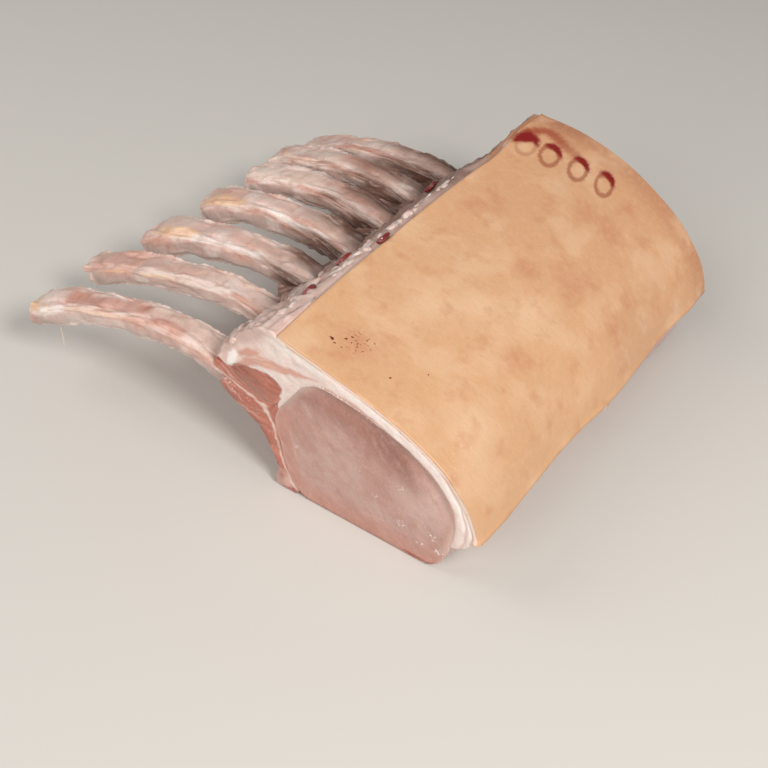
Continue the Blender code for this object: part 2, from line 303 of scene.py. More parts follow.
def distance_to(places, line):
    """How far each place lies from a line."""
    return -stroke(places, np.hstack([line, np.zeros((len(line), 1))]))


def matched(inner, outer, fractions, loosen=0.12):
    """For points of the inner line, the points of the outer line that lie across from them."""
    fine = np.linspace(0, 1, 600)
    targets = along(outer, fine)
    sources = along(inner, fractions)
    nearest = np.argmin(np.linalg.norm(sources[:, None] - targets[None], axis=2), axis=1) / 599
    nearest = np.maximum.accumulate(nearest)
    nearest = (nearest - nearest[0]) / (nearest[-1] - nearest[0])
    return along(outer, (1 - loosen) * nearest + loosen * np.asarray(fractions))


def eased(count, pull):
    """Fractions from 0 to 1, closer together near both ends by that pull."""
    t = np.linspace(0, 1, count)
    return t - pull * np.sin(2 * math.pi * t) / (2 * math.pi)


# ---------------- the section along the rack
def rib_nearness(y):
    """1 on a rib's line, 0 half way between two ribs and beyond the last one."""
    best = np.zeros_like(y)
    for i, centre in enumerate(RIB_BASE_Y):
        before = RIB_BASE_Y[i - 1] if i else centre - 0.06
        after = RIB_BASE_Y[i + 1] if i + 1 < RIB_COUNT else centre + 0.032
        reach = np.where(y > centre, after - centre, centre - before) / 2
        turn = math.pi * np.minimum(1.0, np.abs(y - centre) / reach)
        best = np.maximum(best, 0.5 + 0.5 * np.cos(turn))
    return best


def placed(section, y, ridged=0.0):
    """Points of the section as they lie along the rack; ridged says how much the ribs lift them."""
    x, z = section[..., 0], section[..., 1]
    part = (y + HALF) / LENGTH
    by_rib = rib_nearness(y)
    above_ribs = past(z, 0.0655, 0.01)
    beside_ribs = past(z, 0.04, 0.02)
    drawn = short_of(x, SCALLOP_START, SCALLOP_START - SCALLOP_FULL) * (1 - by_rib)
    inwards = drawn * (LEDGE_IN * beside_ribs + (SCALLOP_IN - LEDGE_IN) * above_ribs)
    trimmed = past(y, TRIM_START, TRIM_FULL - TRIM_START) * past(z, 0.058, 0.015)
    inwards = inwards + trimmed * (TRIM_IN * short_of(x, -0.046, 0.04) - inwards)
    inwards -= RIND_BOW * np.sin(math.pi * part) * smooth(-x / 0.045) * past(z, 0.078, 0.014)
    inwards += WAVE * np.sin(4.3 * math.pi * part + 0.6) * past(x, 0.035, 0.03)
    ridge = ridged * RIDGE * by_rib ** 2 * past(z, 0.006, 0.012) * short_of(z, 0.058, 0.008)
    inwards = inwards - 0.75 * ridge
    lowered = 0.6 * ridge
    towards_strip = short_of(x, -0.018, 0.03)
    towards_back = past(x, -0.012, 0.078)
    far_cut = FAR_BULGE * (1 - towards_strip) - FAR_SLANT * towards_back
    made_y = y + far_cut * smooth(2 * part - 1)
    low_corner = short_of(z, 0.048, 0.016) * past(x, 0.044, 0.02)
    top_corner = short_of(x, -0.034, 0.011) * past(z, 0.09, 0.01)
    made_y -= CORNER_ROUND * np.maximum(low_corner, top_corner) * past(part, 0.94, 0.06)
    return np.stack([x + inwards, made_y, np.maximum(0.0, z - lowered)], -1)


# ---------------- surfaces
def block(us, ws, vs):
    """The surface of a block: its quads, and the place of every point along the three axes."""
    shape = (len(us), len(ws), len(vs))
    outside = np.ones(shape, bool)
    outside[1:-1, 1:-1, 1:-1] = False
    number = np.full(shape, -1)
    number[outside] = np.arange(outside.sum())
    quads = []
    for axis in range(3):
        for end in (0, -1):
            side = np.take(number, end, axis)
            corners = [side[:-1, :-1], side[1:, :-1], side[1:, 1:], side[:-1, 1:]]
            if (end == 0) != (axis == 1):
                corners.reverse()
            quads.append(np.stack(corners, -1).reshape(-1, 4))
    i, j, k = np.nonzero(outside)
    return np.vstack(quads), us[i], ws[j], vs[k]


def normals_of(points, quads):
    a, b, c, d = (points[quads[:, k]] for k in range(4))
    faces = np.cross(c - a, d - b)
    total = np.zeros_like(points)
    for k in range(4):
        for axis in range(3):
            total[:, axis] += np.bincount(quads[:, k], faces[:, axis], len(points))
    return total / np.maximum(np.linalg.norm(total, axis=1, keepdims=True), 1e-20)


def joined(parts):
    """Several meshes as one: its points and quads."""
    starts = np.cumsum([0] + [len(points) for points, _ in parts[:-1]])
    return (np.vstack([points for points, _ in parts]),
            np.vstack([quads + start for (_, quads), start in zip(parts, starts)]))


def blob(centre, size, seed, uneven=0.22, steps=11, axes=np.eye(3)):
    """A lump with those three half sizes along its axes: its points and quads."""
    quads, *sides = block(*[np.linspace(-1, 1, steps)] * 3)
    ball = np.stack(sides, -1)
    ball /= np.linalg.norm(ball, axis=1, keepdims=True)
    ball = ball * (1 + uneven * rough(ball + 10.0 * seed, 1.1, seed, 2))[:, None]
    points = np.asarray(centre) + (ball * np.asarray(size)) @ np.asarray(axes)
    return points, outwards(points, quads)


def outwards(points, quads):
    """The quads, turned so that the closed surface faces out."""
    a, b, c, d = (points[quads[:, k]] for k in range(4))
    volume = np.sum(a * (np.cross(b, c) + np.cross(c, d)))
    return quads if volume > 0 else quads[:, ::-1]


CUT_SOFT = 0.0015  # how far behind a cut its colours end
PUSH_REACH = 0.014  # and how far behind it the surface moves with it


class Body:
    """A length of meat: a patch of the section with four sides, carried from cut to cut.

    u runs from the left side to the right one, w from the low side to the high one, and v along
    the rack. The fade says how soon the shape of the two end sides is lost away from them, and
    start gives the u at which the left side lies along the rack.
    """

    def __init__(self, low, high, left, right, us, ws, vs, fade=1.0, ridged=False, start=None):
        quads, self.u, self.w, self.v = block(us, ws, vs)
        self.y = (self.v - 0.5) * LENGTH
        if start is not None:
            self.u = start(self.y) + (1 - start(self.y)) * self.u
        low_here, high_here = (np.stack([np.interp(self.u, us, side[:, k]) for k in (0, 1)], -1)
                               for side in (low, high))
        ruled = blend(low_here, high_here, self.w)
        for side, k, amount in ((left, 0, (1 - self.u) ** fade), (right, -1, self.u ** fade)):
            if side is not None:
                straight = blend(low[k], high[k], self.w)
                ruled = ruled + (along(side, self.w) - straight) * amount[:, None]
        self.section = ruled
        self.section_places = np.insert(ruled, 1, 0.0, axis=1)  # in space, for the noise
        self.points = placed(ruled, self.y, 1 - self.w if ridged else 0.0)
        self.quads = outwards(self.points, quads)
        sides = [np.zeros((0, 2)) if side is None else along(side, ws) for side in (right, left)]
        outline = np.vstack([low, sides[0], high[::-1], sides[1][::-1]])
        self.rim = np.zeros(len(self.u))
        self.cut = (self.v == vs[0]) | (self.v == vs[-1])
        self.rim[self.cut] = distance_to(ruled[self.cut], outline)
        self.from_cut = np.minimum(self.v, 1 - self.v) * LENGTH
        self.edge = np.maximum(self.rim, self.from_cut)
        self.on_cut = within(self.from_cut, CUT_SOFT)

    def rough(self, size, seed):
        return rough(self.points, size, seed)

    def push(self, amount):
        """Moves the cut ends outwards along the rack, and what lies close behind them a little less."""
        way = np.where(self.v < 0.5, -1.0, 1.0)
        self.points[:, 1] += way * amount * within(self.from_cut, PUSH_REACH)

    def swell(self, amount):
        """Moves the surface outwards by that many metres, but never below the flat base."""
        lifted = self.points + normals_of(self.points, self.quads) * amount[:, None]
        lifted[:, 2] = np.maximum(lifted[:, 2], 0.0)
        resting = self.points[:, 2] <= 1e-6
        lifted[resting, 2] = 0.0
        self.points = lifted

    def become(self, name, tone, flow, material, slot, node, wet=None):
        """Makes a piece of this body, which stands for that solid."""
        add_piece(name, self.points, self.quads, tone, flow, material, slot, node, wet=wet)


def linked(name, data):
    """A new object with that data, in the scene."""
    thing = bpy.data.objects.new(name, data)
    bpy.context.scene.collection.objects.link(thing)
    return thing


def add_piece(name, points, quads, paint, flow, material, slot, *nodes, ends=(), wet=None):
    """Makes one piece of the rack, rides it on the body, and hides the solids it stands for.

    The ends are faces with more than four corners, which close a tube. Wet says where the piece
    has white glints of painted highlight.
    """
    mesh = bpy.data.meshes.new(name)
    mesh.from_pydata(points.tolist(), [], quads.tolist() + list(ends))
    shown = np.broadcast_to(np.clip(paint, 0.0, 1.0), points.shape)
    rows = np.hstack([shown, np.ones((len(points), 1))])
    mesh.attributes.new("paint", "FLOAT_COLOR", "POINT").data.foreach_set("color", rows.ravel())
    mesh.attributes.new("flow", "FLOAT_VECTOR", "POINT").data.foreach_set("vector", flow.ravel())
    if wet is not None:
        mesh.attributes.new("wet", "FLOAT", "POINT").data.foreach_set("value", np.clip(wet, 0.0, 1.0))
    mesh.materials.append(material)
    mesh.shade_smooth()
    thing = linked(name, mesh)
    if nodes:
        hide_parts(*nodes)
    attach(thing, "root")


# ---------------- materials
class Shader:
    """One material under construction."""

    def __init__(self, name):
        self.material = bpy.data.materials.new(name)
        self.material.use_nodes = True
        self.tree = self.material.node_tree
        self.surface = self.tree.nodes["Principled BSDF"]

    def put(self, socket, value):
        if isinstance(value, bpy.types.NodeSocket):
            self.tree.links.new(value, socket)
        else:
            socket.default_value = value

    def fill(self, node, inputs):
        """Gives a node its inputs, which are values or other nodes' outputs."""
        for socket, value in inputs.items():
            self.put(node.inputs[socket], value)
        return node.outputs

    def math(self, operation, a, b=0.0):
        node = self.tree.nodes.new("ShaderNodeMath")
        node.operation = operation
        return self.fill(node, {0: a, 1: b})[0]

    def times(self, a, b):
        return self.math("MULTIPLY", a, b)

    def plus(self, a, b):
        return self.math("ADD", a, b)

    def most(self, a, b):
        return self.math("MAXIMUM", a, b)

    def vector(self, operation, a, b, out="Vector"):
        node = self.tree.nodes.new("ShaderNodeVectorMath")
        node.operation = operation
        return self.fill(node, {0: a, 1: b})[out]

    def away(self, place, spot):
        return self.vector("DISTANCE", place, spot, "Value")

    def mix(self, amount, a, b, how="MIX"):
        node = self.tree.nodes.new("ShaderNodeMix")
        node.data_type = "RGBA"
        node.blend_type = how
        a, b = ((*tone, 1.0) if isinstance(tone, np.ndarray) else tone for tone in (a, b))
        return self.fill(node, {0: amount, 6: a, 7: b})[2]

    def noise(self, place, size, detail=2.0, roughness=0.5, out="Fac"):
        node = self.tree.nodes.new("ShaderNodeTexNoise")
        inputs = {"Vector": place, "Scale": 1 / size, "Detail": detail, "Roughness": roughness}
        return self.fill(node, inputs)[out]

    def band(self, value, low, high):
        """0 below low and 1 above high, with a smooth step between; high may be the lower one."""
        node = self.tree.nodes.new("ShaderNodeMapRange")
        node.interpolation_type = "SMOOTHSTEP"
        turned = high < low
        return self.fill(node, {
            "Value": value, "From Min": min(low, high), "From Max": max(low, high),
            "To Min": float(turned), "To Max": float(not turned),
        })["Result"]

    def spread(self, value, low, high):
        """A value from 0 to 1 spread from low to high."""
        return self.plus(self.times(value, high - low), low)

    def tinted(self, tone, tint, value, low, high, strength):
        """The tone with the tint over it, by that strength where the value is past the band."""
        return self.mix(self.times(self.band(value, low, high), strength), tone, tint)

    def attribute(self, name, out):
        node = self.tree.nodes.new("ShaderNodeAttribute")
        node.attribute_name = name
        return node.outputs[out]

    def bump(self, height, distance, over=None):
        node = self.tree.nodes.new("ShaderNodeBump")
        inputs = {"Distance": distance, "Height": height}
        if over is not None:
            inputs["Normal"] = over
        return self.fill(node, inputs)["Normal"]

    def finish(self, base, roughness, normal, scatter, coat, coat_roughness=0.18, specular=0.5):
        """Links the surface; scatter is how deep light goes into it, in metres."""
        self.fill(self.surface, {
            "Base Color": base, "Roughness": roughness, "Normal": normal,
            "Subsurface Weight": 0.35 if scatter else 0.0, "Subsurface Radius": (1.0, 0.45, 0.3),
            "Subsurface Scale": scatter, "Specular IOR Level": specular, "Coat Weight": coat,
            "Coat Roughness": coat_roughness,
        })
        return self.material


def flesh(name, grain, mottle, relief, roughness, coat, scatter=0.0025, grain_tint=0.5):
    """Raw meat, fat or membrane, from its painted colour.

    grain gives the size of the streaks along and across the flow, mottle the size of the soft
    blotches and relief the depth of the finest bumps, all in metres.
    """
    made = Shader(name)
    paint = made.attribute("paint", "Color")
    flow = made.attribute("flow", "Vector")
    glint_zone = made.attribute("wet", "Fac")
    stretched = made.vector("MULTIPLY", flow, tuple(grain[-1] / size for size in grain))
    streaks = made.noise(stretched, grain[-1], detail=4.0, roughness=0.6)
    blotches = made.noise(flow, mottle, detail=3.0)
    pores = made.noise(flow, 0.0007, detail=3.0, roughness=0.6)
    deeper = made.mix(1.0, paint, GRAIN_DEEP, "MULTIPLY")
    paler = made.mix(0.3, paint, GRAIN_PALE)
    tone = made.tinted(paint, deeper, blotches, 0.48, 0.72, grain_tint)
    tone = made.tinted(tone, paler, streaks, 0.5, 0.68, grain_tint)
    tone = made.tinted(tone, deeper, pores, 0.5, 0.36, 0.35)
    # White glints of painted highlight on wet meat, where the wet attribute says.
    glint_noise = made.noise(made.vector("MULTIPLY", flow, (0.8, 1.0, 1.0)), 0.0013, detail=1.0)
    glint_mask = made.band(made.plus(glint_noise, made.times(glint_zone, 0.1)), 0.6, 0.68)
    tone = made.mix(made.times(glint_mask, glint_zone), tone, GLINT_WHITE)
    height = made.plus(made.times(streaks, 0.7), made.times(pores, 0.5))
    normal = made.bump(height, relief)
    normal = made.bump(blotches, 2 * relief, over=normal)
    wet = made.spread(blotches, roughness + 0.16, roughness - 0.14)
    return made.finish(tone, wet, normal, scatter, coat)


# ---------------- colours
SKIN = colour(214, 168, 128)
SKIN_PALE = colour(226, 188, 153)
SKIN_PINK = colour(197, 136, 100)
SKIN_EDGE = colour(230, 202, 188)
SKIN_CURL = colour(186, 128, 90)
SKIN_SHADE = colour(150, 92, 66)
SKIN_FOLLICLE = colour(190, 132, 96)
# The white of painted highlights on the wet rind.
SKIN_GLINT = colour(246, 226, 206)
MARK_RING = colour(150, 70, 40)
MARK_DARK = colour(132, 4, 0)
MARK_SMEAR = colour(158, 66, 34)
MARK_SPECK = colour(112, 22, 12)
GRAIN_PALE = colour(244, 228, 218)
GRAIN_DEEP = np.array((0.8, 0.66, 0.62))  # what the deep grain multiplies the paint by
# The white of painted highlights on wet meat.
GLINT_WHITE = colour(252, 245, 241)
FAT_WHITE = colour(235, 219, 212)
FAT_BRIGHT = colour(248, 242, 238)
FAT_PINK = colour(226, 196, 187)
FAT_GREY = colour(192, 166, 157)
LEAN = colour(208, 146, 128)
LEAN_WARM = colour(228, 186, 158)
EYE = colour(189, 147, 135)
EYE_BROWN_AND_SHADE = colour(152, 102, 88)
EYE_SHADE_DEEP = colour(126, 82, 70)
EYE_PALE = colour(204, 173, 165)
EYE_PINK = colour(197, 138, 122)
EYE_EDGE = colour(222, 190, 178)
CAP = colour(174, 112, 94)
CAP_DARK = colour(136, 76, 60)
BAND = colour(186, 106, 86)
BAND_RED = colour(150, 80, 64)
SIDE_LILAC = colour(206, 166, 166)
STRIP_GREY = colour(200, 170, 160)
STRIP_OVAL = colour(166, 116, 100)
SINEW = colour(234, 214, 202)
LINING = colour(206, 176, 166)
BONE_WHITE = colour(236, 218, 206)
BONE_CREAM = colour(238, 211, 190)
BONE_LILAC_AND_SHADE = colour(188, 168, 161)
BONE_TIP = colour(238, 196, 152)
BONE_SHADE_GREY = colour(170, 146, 138)
RIB_PALE = colour(222, 196, 186)
RIB_PINK = colour(216, 172, 159)
RIB_ORANGE = colour(210, 157, 137)
RIB_CREASE = colour(172, 112, 94)
# Brown and mauve of the tissue by the strip, also laid on as painted shade; the dark one is painted shade
# alone.
BROWN_AND_SHADE = colour(116, 82, 66)
MAUVE_AND_SHADE = colour(150, 116, 104)
SHADE_DARK = colour(76, 46, 34)
BLOOD = colour(122, 14, 8)
BLOOD_FRESH = colour(168, 52, 34)
BLOOD_DARK = colour(44, 8, 6)

CUT_MARKS = [  # what the cut faces show: stroke, colour, strength and how soft its edge is
    (PINK_REGION, LEAN, 0.35, 0.0035), (STRIP_SIDE, STRIP_GREY, 0.85, 0.003),
    (TOP_EDGE, FAT_GREY, 0.45, 0.0012), (CAP_RIM, FAT_BRIGHT, 0.75, 0.0008),
    (PINK_STRIP, LEAN, 0.8, 0.0011), (STRIP_LIGHT, LEAN_WARM, 0.8, 0.0007),
    (PINK_PATCH, LEAN, 0.8, 0.0011), (STRIP_SINEW, SINEW, 0.7, 0.0005),
    (EDGE_STRIP, LEAN, 0.7, 0.0007), (WHITE_LUMP, FAT_BRIGHT, 1.0, 0.001),
    (BAND_SINEW, SINEW, 0.8, 0.0006), (SLIT, BAND_RED, 0.9, 0.0005),
    *((streak, SINEW, 0.45, 0.0006) for streak in BAND_STREAKS),
    *((groove, FAT_PINK, 0.75, 0.0008) for groove in LIP_GROOVES),
    *((bits, BLOOD_FRESH, 0.8, 0.0007) for bits in BLOOD_BITS),
]


def cut_marked(body, tone):
    """The tone with sinew, strips and slits over it, where they cross the cut faces."""
    wobble = np.stack([noise(body.section_places, 0.0035, seed) for seed in (21, 22)], -1)
    wobble += 0.4 * np.stack([noise(body.section_places, 0.0012, seed) for seed in (23, 24)], -1)
    places = body.section + 0.0006 * wobble
    marked = layered(tone, [(tint, inked(places, line, soft) * strength)
                            for line, tint, strength, soft in CUT_MARKS])
    return blend(tone, marked, body.on_cut)


def glint_places(body):
    """Where white glints of painted highlight lie on the cut faces, and how strongly."""
    wet = 0.95 * inked(body.section, GLINT_EDGE, 0.0008)
    wet = np.maximum(wet, 0.4 * inked(body.section, GLINT_BAND, 0.0012))
    for x, z, reach in GLINT_SPOTS:
        away = np.linalg.norm(body.section - np.array((x, z)), axis=1)
        wet = np.maximum(wet, 0.65 * smooth(1.4 - away / reach))
    return wet * body.on_cut


# ---------------- the outlines
RIND_LINE = spline(RIND_CURVE)
RIND_RUN = np.linalg.norm(np.diff(RIND_LINE, axis=0), axis=1).sum()
EYE_ROUND = spline(EYE_CURVE)
CAP_ROUND = spline(CAP_CURVE, closed=True)
CHEST_LINE = spline(CHEST_CURVE)
CAP_TIP, CAP_CORNER, CAP_BOTTOM = CAP_CURVE[0], CAP_CURVE[4], CAP_CURVE[6]
EYE_SHOULDER = (-0.0435, 0.054)  # where the eye's left side becomes its top
EYE_HIP = (0.054, 0.0515)  # where its top becomes the right side


def side_of(line):
    """The direction across a line, to the left of its way."""
    step = np.gradient(line, axis=0)
    step /= np.linalg.norm(step, axis=1, keepdims=True)
    return np.stack([-step[:, 1], step[:, 0]], -1)


def rind_start(y):
    """How far over its curve the rind begins at those places along the rack."""
    return RIND_START * (1 - past(y, 0.07, 0.03))


def under_rind(depth):
    """The rind's line at that depth below its surface."""
    return RIND_LINE - side_of(RIND_LINE) * depth


# ---------------- the rind
# Places on the rind: over the curve, then along the rack, and how far a spot reaches.
RING_PLACES = mm((9.7, 87.6), (23.1, 88.8), (39.6, 91.2), (56.3, 93.9))
RING_SMEAR = mm(
    (4.6, 99.2), (6.8, 103.2), (9.2, 105.8), (12, 107), (15, 106.4), (17.8, 105), (20.8, 103.6),
    (24.2, 102.4), (27.8, 101.4), (31.6, 100.8),
)
SMEAR_STRENGTH = (1, 1, 0.95, 0.95, 0.95, 0.9, 0.9, 0.8, 0.7, 0.6)
RING_ACROSS = (0.0042, 0.0046)  # how far a ring reaches, to its right and upwards in the photo
RING_ALONG = (-0.0051, 0.0085)
PINK_SPOTS = mm(
    (76.4, 93.8, 9), (79.3, 68.9, 12), (61.5, 64.8, 10), (83.8, 19.9, 20), (60.5, 7.3, 12),
    (34, -96, 20), (118, 25, 16), (20, 30, 18), (90, -45, 14),
)
# Pale spots: partly the rind's own mottling, partly painted highlight where the light falls broadest.
PALE_SPOTS = mm((109.6, 77, 20), (77, -14.4, 20), (98, -93.6, 26), (41.1, -50, 22), (59, -32, 20))
SPECKS = mm(
    (22.2, -103, 1.2), (25.2, -104.2, 0.7), (27.2, -98.2, 0.8), (28.4, -95.2, 0.6), (34.8, -91.9, 0.6),
    (32.6, -96.9, 0.5), (28.8, -104.1, 0.5), (29.1, -90.8, 0.4), (34.6, -100.9, 0.5),
    (55.4, -102.4, 0.7), (42.8, -66.9, 0.4), (66.3, -86.5, 0.3),
)
SPRAY = (0.0325, -0.0955, 0.0)  # the middle of a field of the finest specks
SPRAY_REACH = 0.0105
GLINT_FRONT = (0.1027, -0.106, 0.0)  # where white glints of painted highlight lie on the rind


def rind_material():
    made = Shader("pork_rind")
    paint = made.attribute("paint", "Color")
    flow = made.attribute("flow", "Vector")
    wander = made.vector("SUBTRACT", made.noise(flow, 0.002, out="Color"), (0.5, 0.5, 0.5))
    shaken = made.vector("ADD", flow, made.vector("MULTIPLY", wander, (0.0022, 0.0022, 0.0)))
    folds = made.noise(made.vector("MULTIPLY", flow, (0.3, 1.0, 1.0)), 0.0007, 3.0, 0.65)
    follicles = made.noise(made.vector("MULTIPLY", shaken, (0.45, 1.0, 1.0)), 0.0016, 2.0)
    broad = made.noise(flow, 0.03, 3.0, 0.55)
    blotches = made.noise(flow, 0.013, 3.0, 0.55)
    fine = made.noise(flow, 0.0035, 3.0, 0.6)

    tone = made.tinted(paint, SKIN_PALE, broad, 0.46, 0.66, 0.55)
    tone = made.tinted(tone, SKIN_PINK, blotches, 0.52, 0.72, 0.42)
    tone = made.tinted(tone, SKIN_PALE, fine, 0.46, 0.68, 0.18)
    tone = made.tinted(tone, SKIN_FOLLICLE, follicles, 0.56, 0.7, 0.13)
    tone = made.tinted(tone, SKIN_PALE, folds, 0.56, 0.7, 0.13)
    # White glints of painted highlight on the wet rind near the front.
    glint_field = made.band(made.away(flow, GLINT_FRONT), 0.017, 0.004)
    glint_noise = made.noise(made.vector("MULTIPLY", shaken, (0.5, 1.0, 1.0)), 0.0012, 1.0)
    tone = made.tinted(tone, SKIN_GLINT, glint_noise, 0.66, 0.74, made.times(glint_field, 0.45))

    ring_mask, dark_mask, smear_mask = rings(made, shaken)
    tone = made.mix(made.times(smear_mask, 0.85), tone, MARK_SMEAR)
    tone = made.mix(made.times(ring_mask, 0.66), tone, MARK_RING)
    tone = made.mix(dark_mask, tone, MARK_DARK)
    tone = made.mix(specks(made, shaken), tone, MARK_SPECK)

    height = made.plus(made.times(folds, 0.5), made.times(follicles, 0.8))
    normal = made.bump(height, 0.0001)
    normal = made.bump(fine, 0.00022, over=normal)
    roughness = made.spread(fine, 0.36, 0.56)
    return made.finish(tone, roughness, normal, 0.0018, coat=0.1, coat_roughness=0.3, specular=0.45)


def rings(made, shaken):
    """Where the four ring marks are, where their dark crescents, and the smear that joins them."""
    to_ring = np.linalg.inv(np.array([RING_ACROSS, RING_ALONG]).T)
    every_ring = every_crescent = smear = 0.0
    for number, centre in enumerate(RING_PLACES):
        offset = made.vector("SUBTRACT", shaken, (*centre, 0.0))
        right, up = (made.vector("DOT_PRODUCT", offset, (*row, 0.0), "Value") for row in to_ring)
        radius = made.math("SQRT", made.plus(made.times(right, right), made.times(up, up)))
        ring = made.times(made.band(radius, 1.1, 0.92), made.band(radius, 0.56, 0.76))
        lean = made.plus(made.times(right, 0.62), made.times(up, 0.78))
        thick = made.times(made.band(radius, 1.3, 0.95), made.band(radius, 0.42, 0.62))
        crescent = made.times(thick, made.band(lean, 0.25, 0.7))
        if number == 0:
            blotch = made.times(made.band(radius, 1.55, 1.05), made.band(up, 0.05, 0.4))
            ring = made.times(ring, 0.5)
            crescent = made.most(crescent, blotch)
        every_ring = made.most(every_ring, ring)
        every_crescent = made.most(every_crescent, crescent)
    for spot, strength in zip(RING_SMEAR, SMEAR_STRENGTH):
        here = made.band(made.away(shaken, (*spot, 0.0)), 0.0056, 0.0012)
        smear = made.most(smear, made.times(here, strength))
    return every_ring, every_crescent, smear


def specks(made, shaken):
    """Where the dried blood specks are, with a field of the finest ones."""
    mask = 0.0
    for over, rack, reach in SPECKS:
        away = made.away(shaken, (over, rack, 0.0))
        mask = made.most(mask, made.band(away, 1.15 * reach, 0.45 * reach))
    grains = made.band(made.noise(shaken, 0.0011, 1.0), 0.62, 0.72)
    field = made.band(made.away(shaken, SPRAY), SPRAY_REACH, 0.004)
    return made.most(mask, made.times(grains, field))


def add_rind():
    us, ws, vs = np.linspace(0, 1, 120), np.linspace(0, 1, 7), eased(160, 0.8)
    outer, inner = along(RIND_LINE, us), along(under_rind(RIND_THICK), us)
    body = Body(inner, outer, None, None, us, ws, vs, start=lambda y: rind_start(y) / RIND_RUN)
    over = body.u * RIND_RUN
    flow = np.stack([over, body.y, (1 - body.w) * RIND_THICK], -1)
    outside = body.w ** 2
    from_low = (1 - body.u) * RIND_RUN
    lip = 0.0013 * within(from_low, 0.004) * short_of(body.y, 0.118, 0.02)
    swelling = 0.00035 * noise(flow, 0.03, 1) + 0.00014 * noise(flow, 0.009, 2)
    swelling -= 0.0006 * within(body.from_cut, 0.001)
    body.swell(outside * swelling + lip)

    tone = SKIN
    for spots, tint, strength in ((PINK_SPOTS, SKIN_PINK, 0.6), (PALE_SPOTS, SKIN_PALE, 0.9)):
        for spot_over, spot_y, reach in spots:
            away = np.hypot(over - spot_over, body.y - spot_y)
            away = away * (1 + 0.35 * noise(flow, 0.008, 5))
            tone = blend(tone, tint, strength * within(away, reach))
    # Painted shade: darker and redder towards the far cut, darkest along the far edge by the top corner.
    tone = layered(tone, [
        (SKIN_PINK, 0.22 * past(body.y, -0.03, 0.1)),
        (SKIN_PINK, 0.45 * past(body.y, 0.095, 0.025)),
        (SKIN_SHADE, past(body.y, 0.1, 0.018) * (0.22 + 0.4 * short_of(over, 0.045, 0.03))),
        (SKIN_EDGE, 1 - past(body.w, 0.7, 0.25)),
    ])
    body.become("rind", tone, flow, rind_material(), "rind", "fat_cap")


# ---------------- the fat
STRIP_HOLLOW = 0.0032  # how far the strip's face is drawn in between the ribs' line and the rind
STRIP_AXES = np.array([(-0.78, 0.0, 0.62), (0.0, 1.0, 0.0), (0.62, 0.0, 0.78)])  # out, along and up it
STRIP_OUT = STRIP_AXES[0]
DARK_OVAL = (-0.1125, 0.5, 0.0048, 0.1)  # on the strip: Y, share of its height, and the half sizes
RIND_WAY = np.array((0.96, 0.0, -0.28))  # the way over the rind from the strip


def tuck(y):
    """How much the strip's top edge lies back under the rind's: 0 at the near cut, 1 behind it."""
    return past(y, -0.112, 0.035)


def strip_change(y, share):
    """How the strip's face lies back from the solid's, at a share of its height from the ribs."""
    top = 0.93 + 0.05 * past(y, 0.055, 0.02)
    hollow = STRIP_HOLLOW * past(y, -0.09, 0.08) * smooth(share / 0.2) * short_of(share, top, 0.25)
    tucked = tuck(y) * rind_start(y) * past(share, 0.15, 0.5)
    return tucked[..., None] * RIND_WAY - hollow[..., None] * STRIP_OUT


def strip_place(y, share, out):
    """A place on the strip's face, or that far out of it."""
    y, share = np.asarray(y, float), np.asarray(share, float)
    return placed(along(STRIP_EDGE, share), y) + strip_change(y, share) + out * STRIP_OUT


def under_fat(section):
    """1 where the fat stands out over the sunk eye, on the upper right of the cut, and 0 elsewhere."""
    return past(section[:, 0], -0.03, 0.02) * past(section[:, 1], 0.026, 0.022)


def fat_block():
    """The fat's block, from the outline of the two muscles out to the rind."""
    us = np.linspace(0, 1, 165)
    ws, vs = np.linspace(0, 1, 50), eased(165, 0.6)
    over_cap = part_of(CAP_ROUND[:-8], CAP_TIP, (-0.0418, 0.062))
    over_eye = part_of(EYE_ROUND, EYE_SHOULDER, BACK_EDGE[0])
    inner_line = np.vstack([STRIP_EDGE[0], over_cap, KNOT, over_eye])
    outer_line = under_rind(RIND_THICK - 0.0002)
    outer = matched(inner_line, outer_line, us)
    inner = along(inner_line, us)
    left, right = np.array(STRIP_EDGE), spline([inner[-1], (0.0625, 0.024), outer[-1]])
    return Body(inner, outer, left, right, us, ws, vs, fade=9.0)


def strip_tone(body, lumps):
    """The strip's colours: pale at the near cut, with brown folds behind it under painted shade, darkest
    between the ribs.
    """
    patches = body.rough(0.009, 61)
    between = 1 - rib_nearness(body.y)
    brown_top = 0.76 + 0.34 * past(body.y, -0.02, 0.05)
    # Painted shade over the strip's lower part and its brown folds, darkest between the ribs.
    shaded_low_part = smooth((brown_top - body.w + 0.1 * patches) / 0.22) * past(body.y, -0.1, 0.03)
    far_rim = past(body.y, 0.05, 0.02) * smooth((body.w - 0.88 + 0.07 * patches) / 0.1)
    oval_y, oval_share, *oval_size = DARK_OVAL
    oval = np.hypot((body.y - oval_y) / oval_size[0], (body.w - oval_share) / oval_size[1])
    shaded_folds = blend(MAUVE_AND_SHADE, BROWN_AND_SHADE, smooth(0.4 + 0.7 * lumps))
    shaded_folds = blend(shaded_folds, SHADE_DARK, 0.7 * smooth(1.3 * between + 0.5 * patches - 0.2))
    return layered(FAT_GREY, [
        (FAT_WHITE, 0.6 * smooth(0.8 * lumps)),
        (LEAN, 0.55 * past(patches, 0.1, 0.5) * short_of(body.w, 0.8, 0.3)),
        # Painted shade in the hollows between the lumps.
        (RIB_CREASE, 0.45 * smooth(-lumps - 0.2)),
        (FAT_PINK, 0.5 * past(body.w, 0.92, 0.04)),
        (shaded_folds, 0.82 * shaded_low_part),
        # Darker behind the near end: partly the strip's own colour, partly painted shade.
        (MAUVE_AND_SHADE, 0.42 * past(body.y, -0.07, 0.03)),
        (SKIN_CURL, far_rim),
        (STRIP_OVAL, 0.85 * short_of(oval + 0.2 * patches, 1.15, 0.3)),
    ])


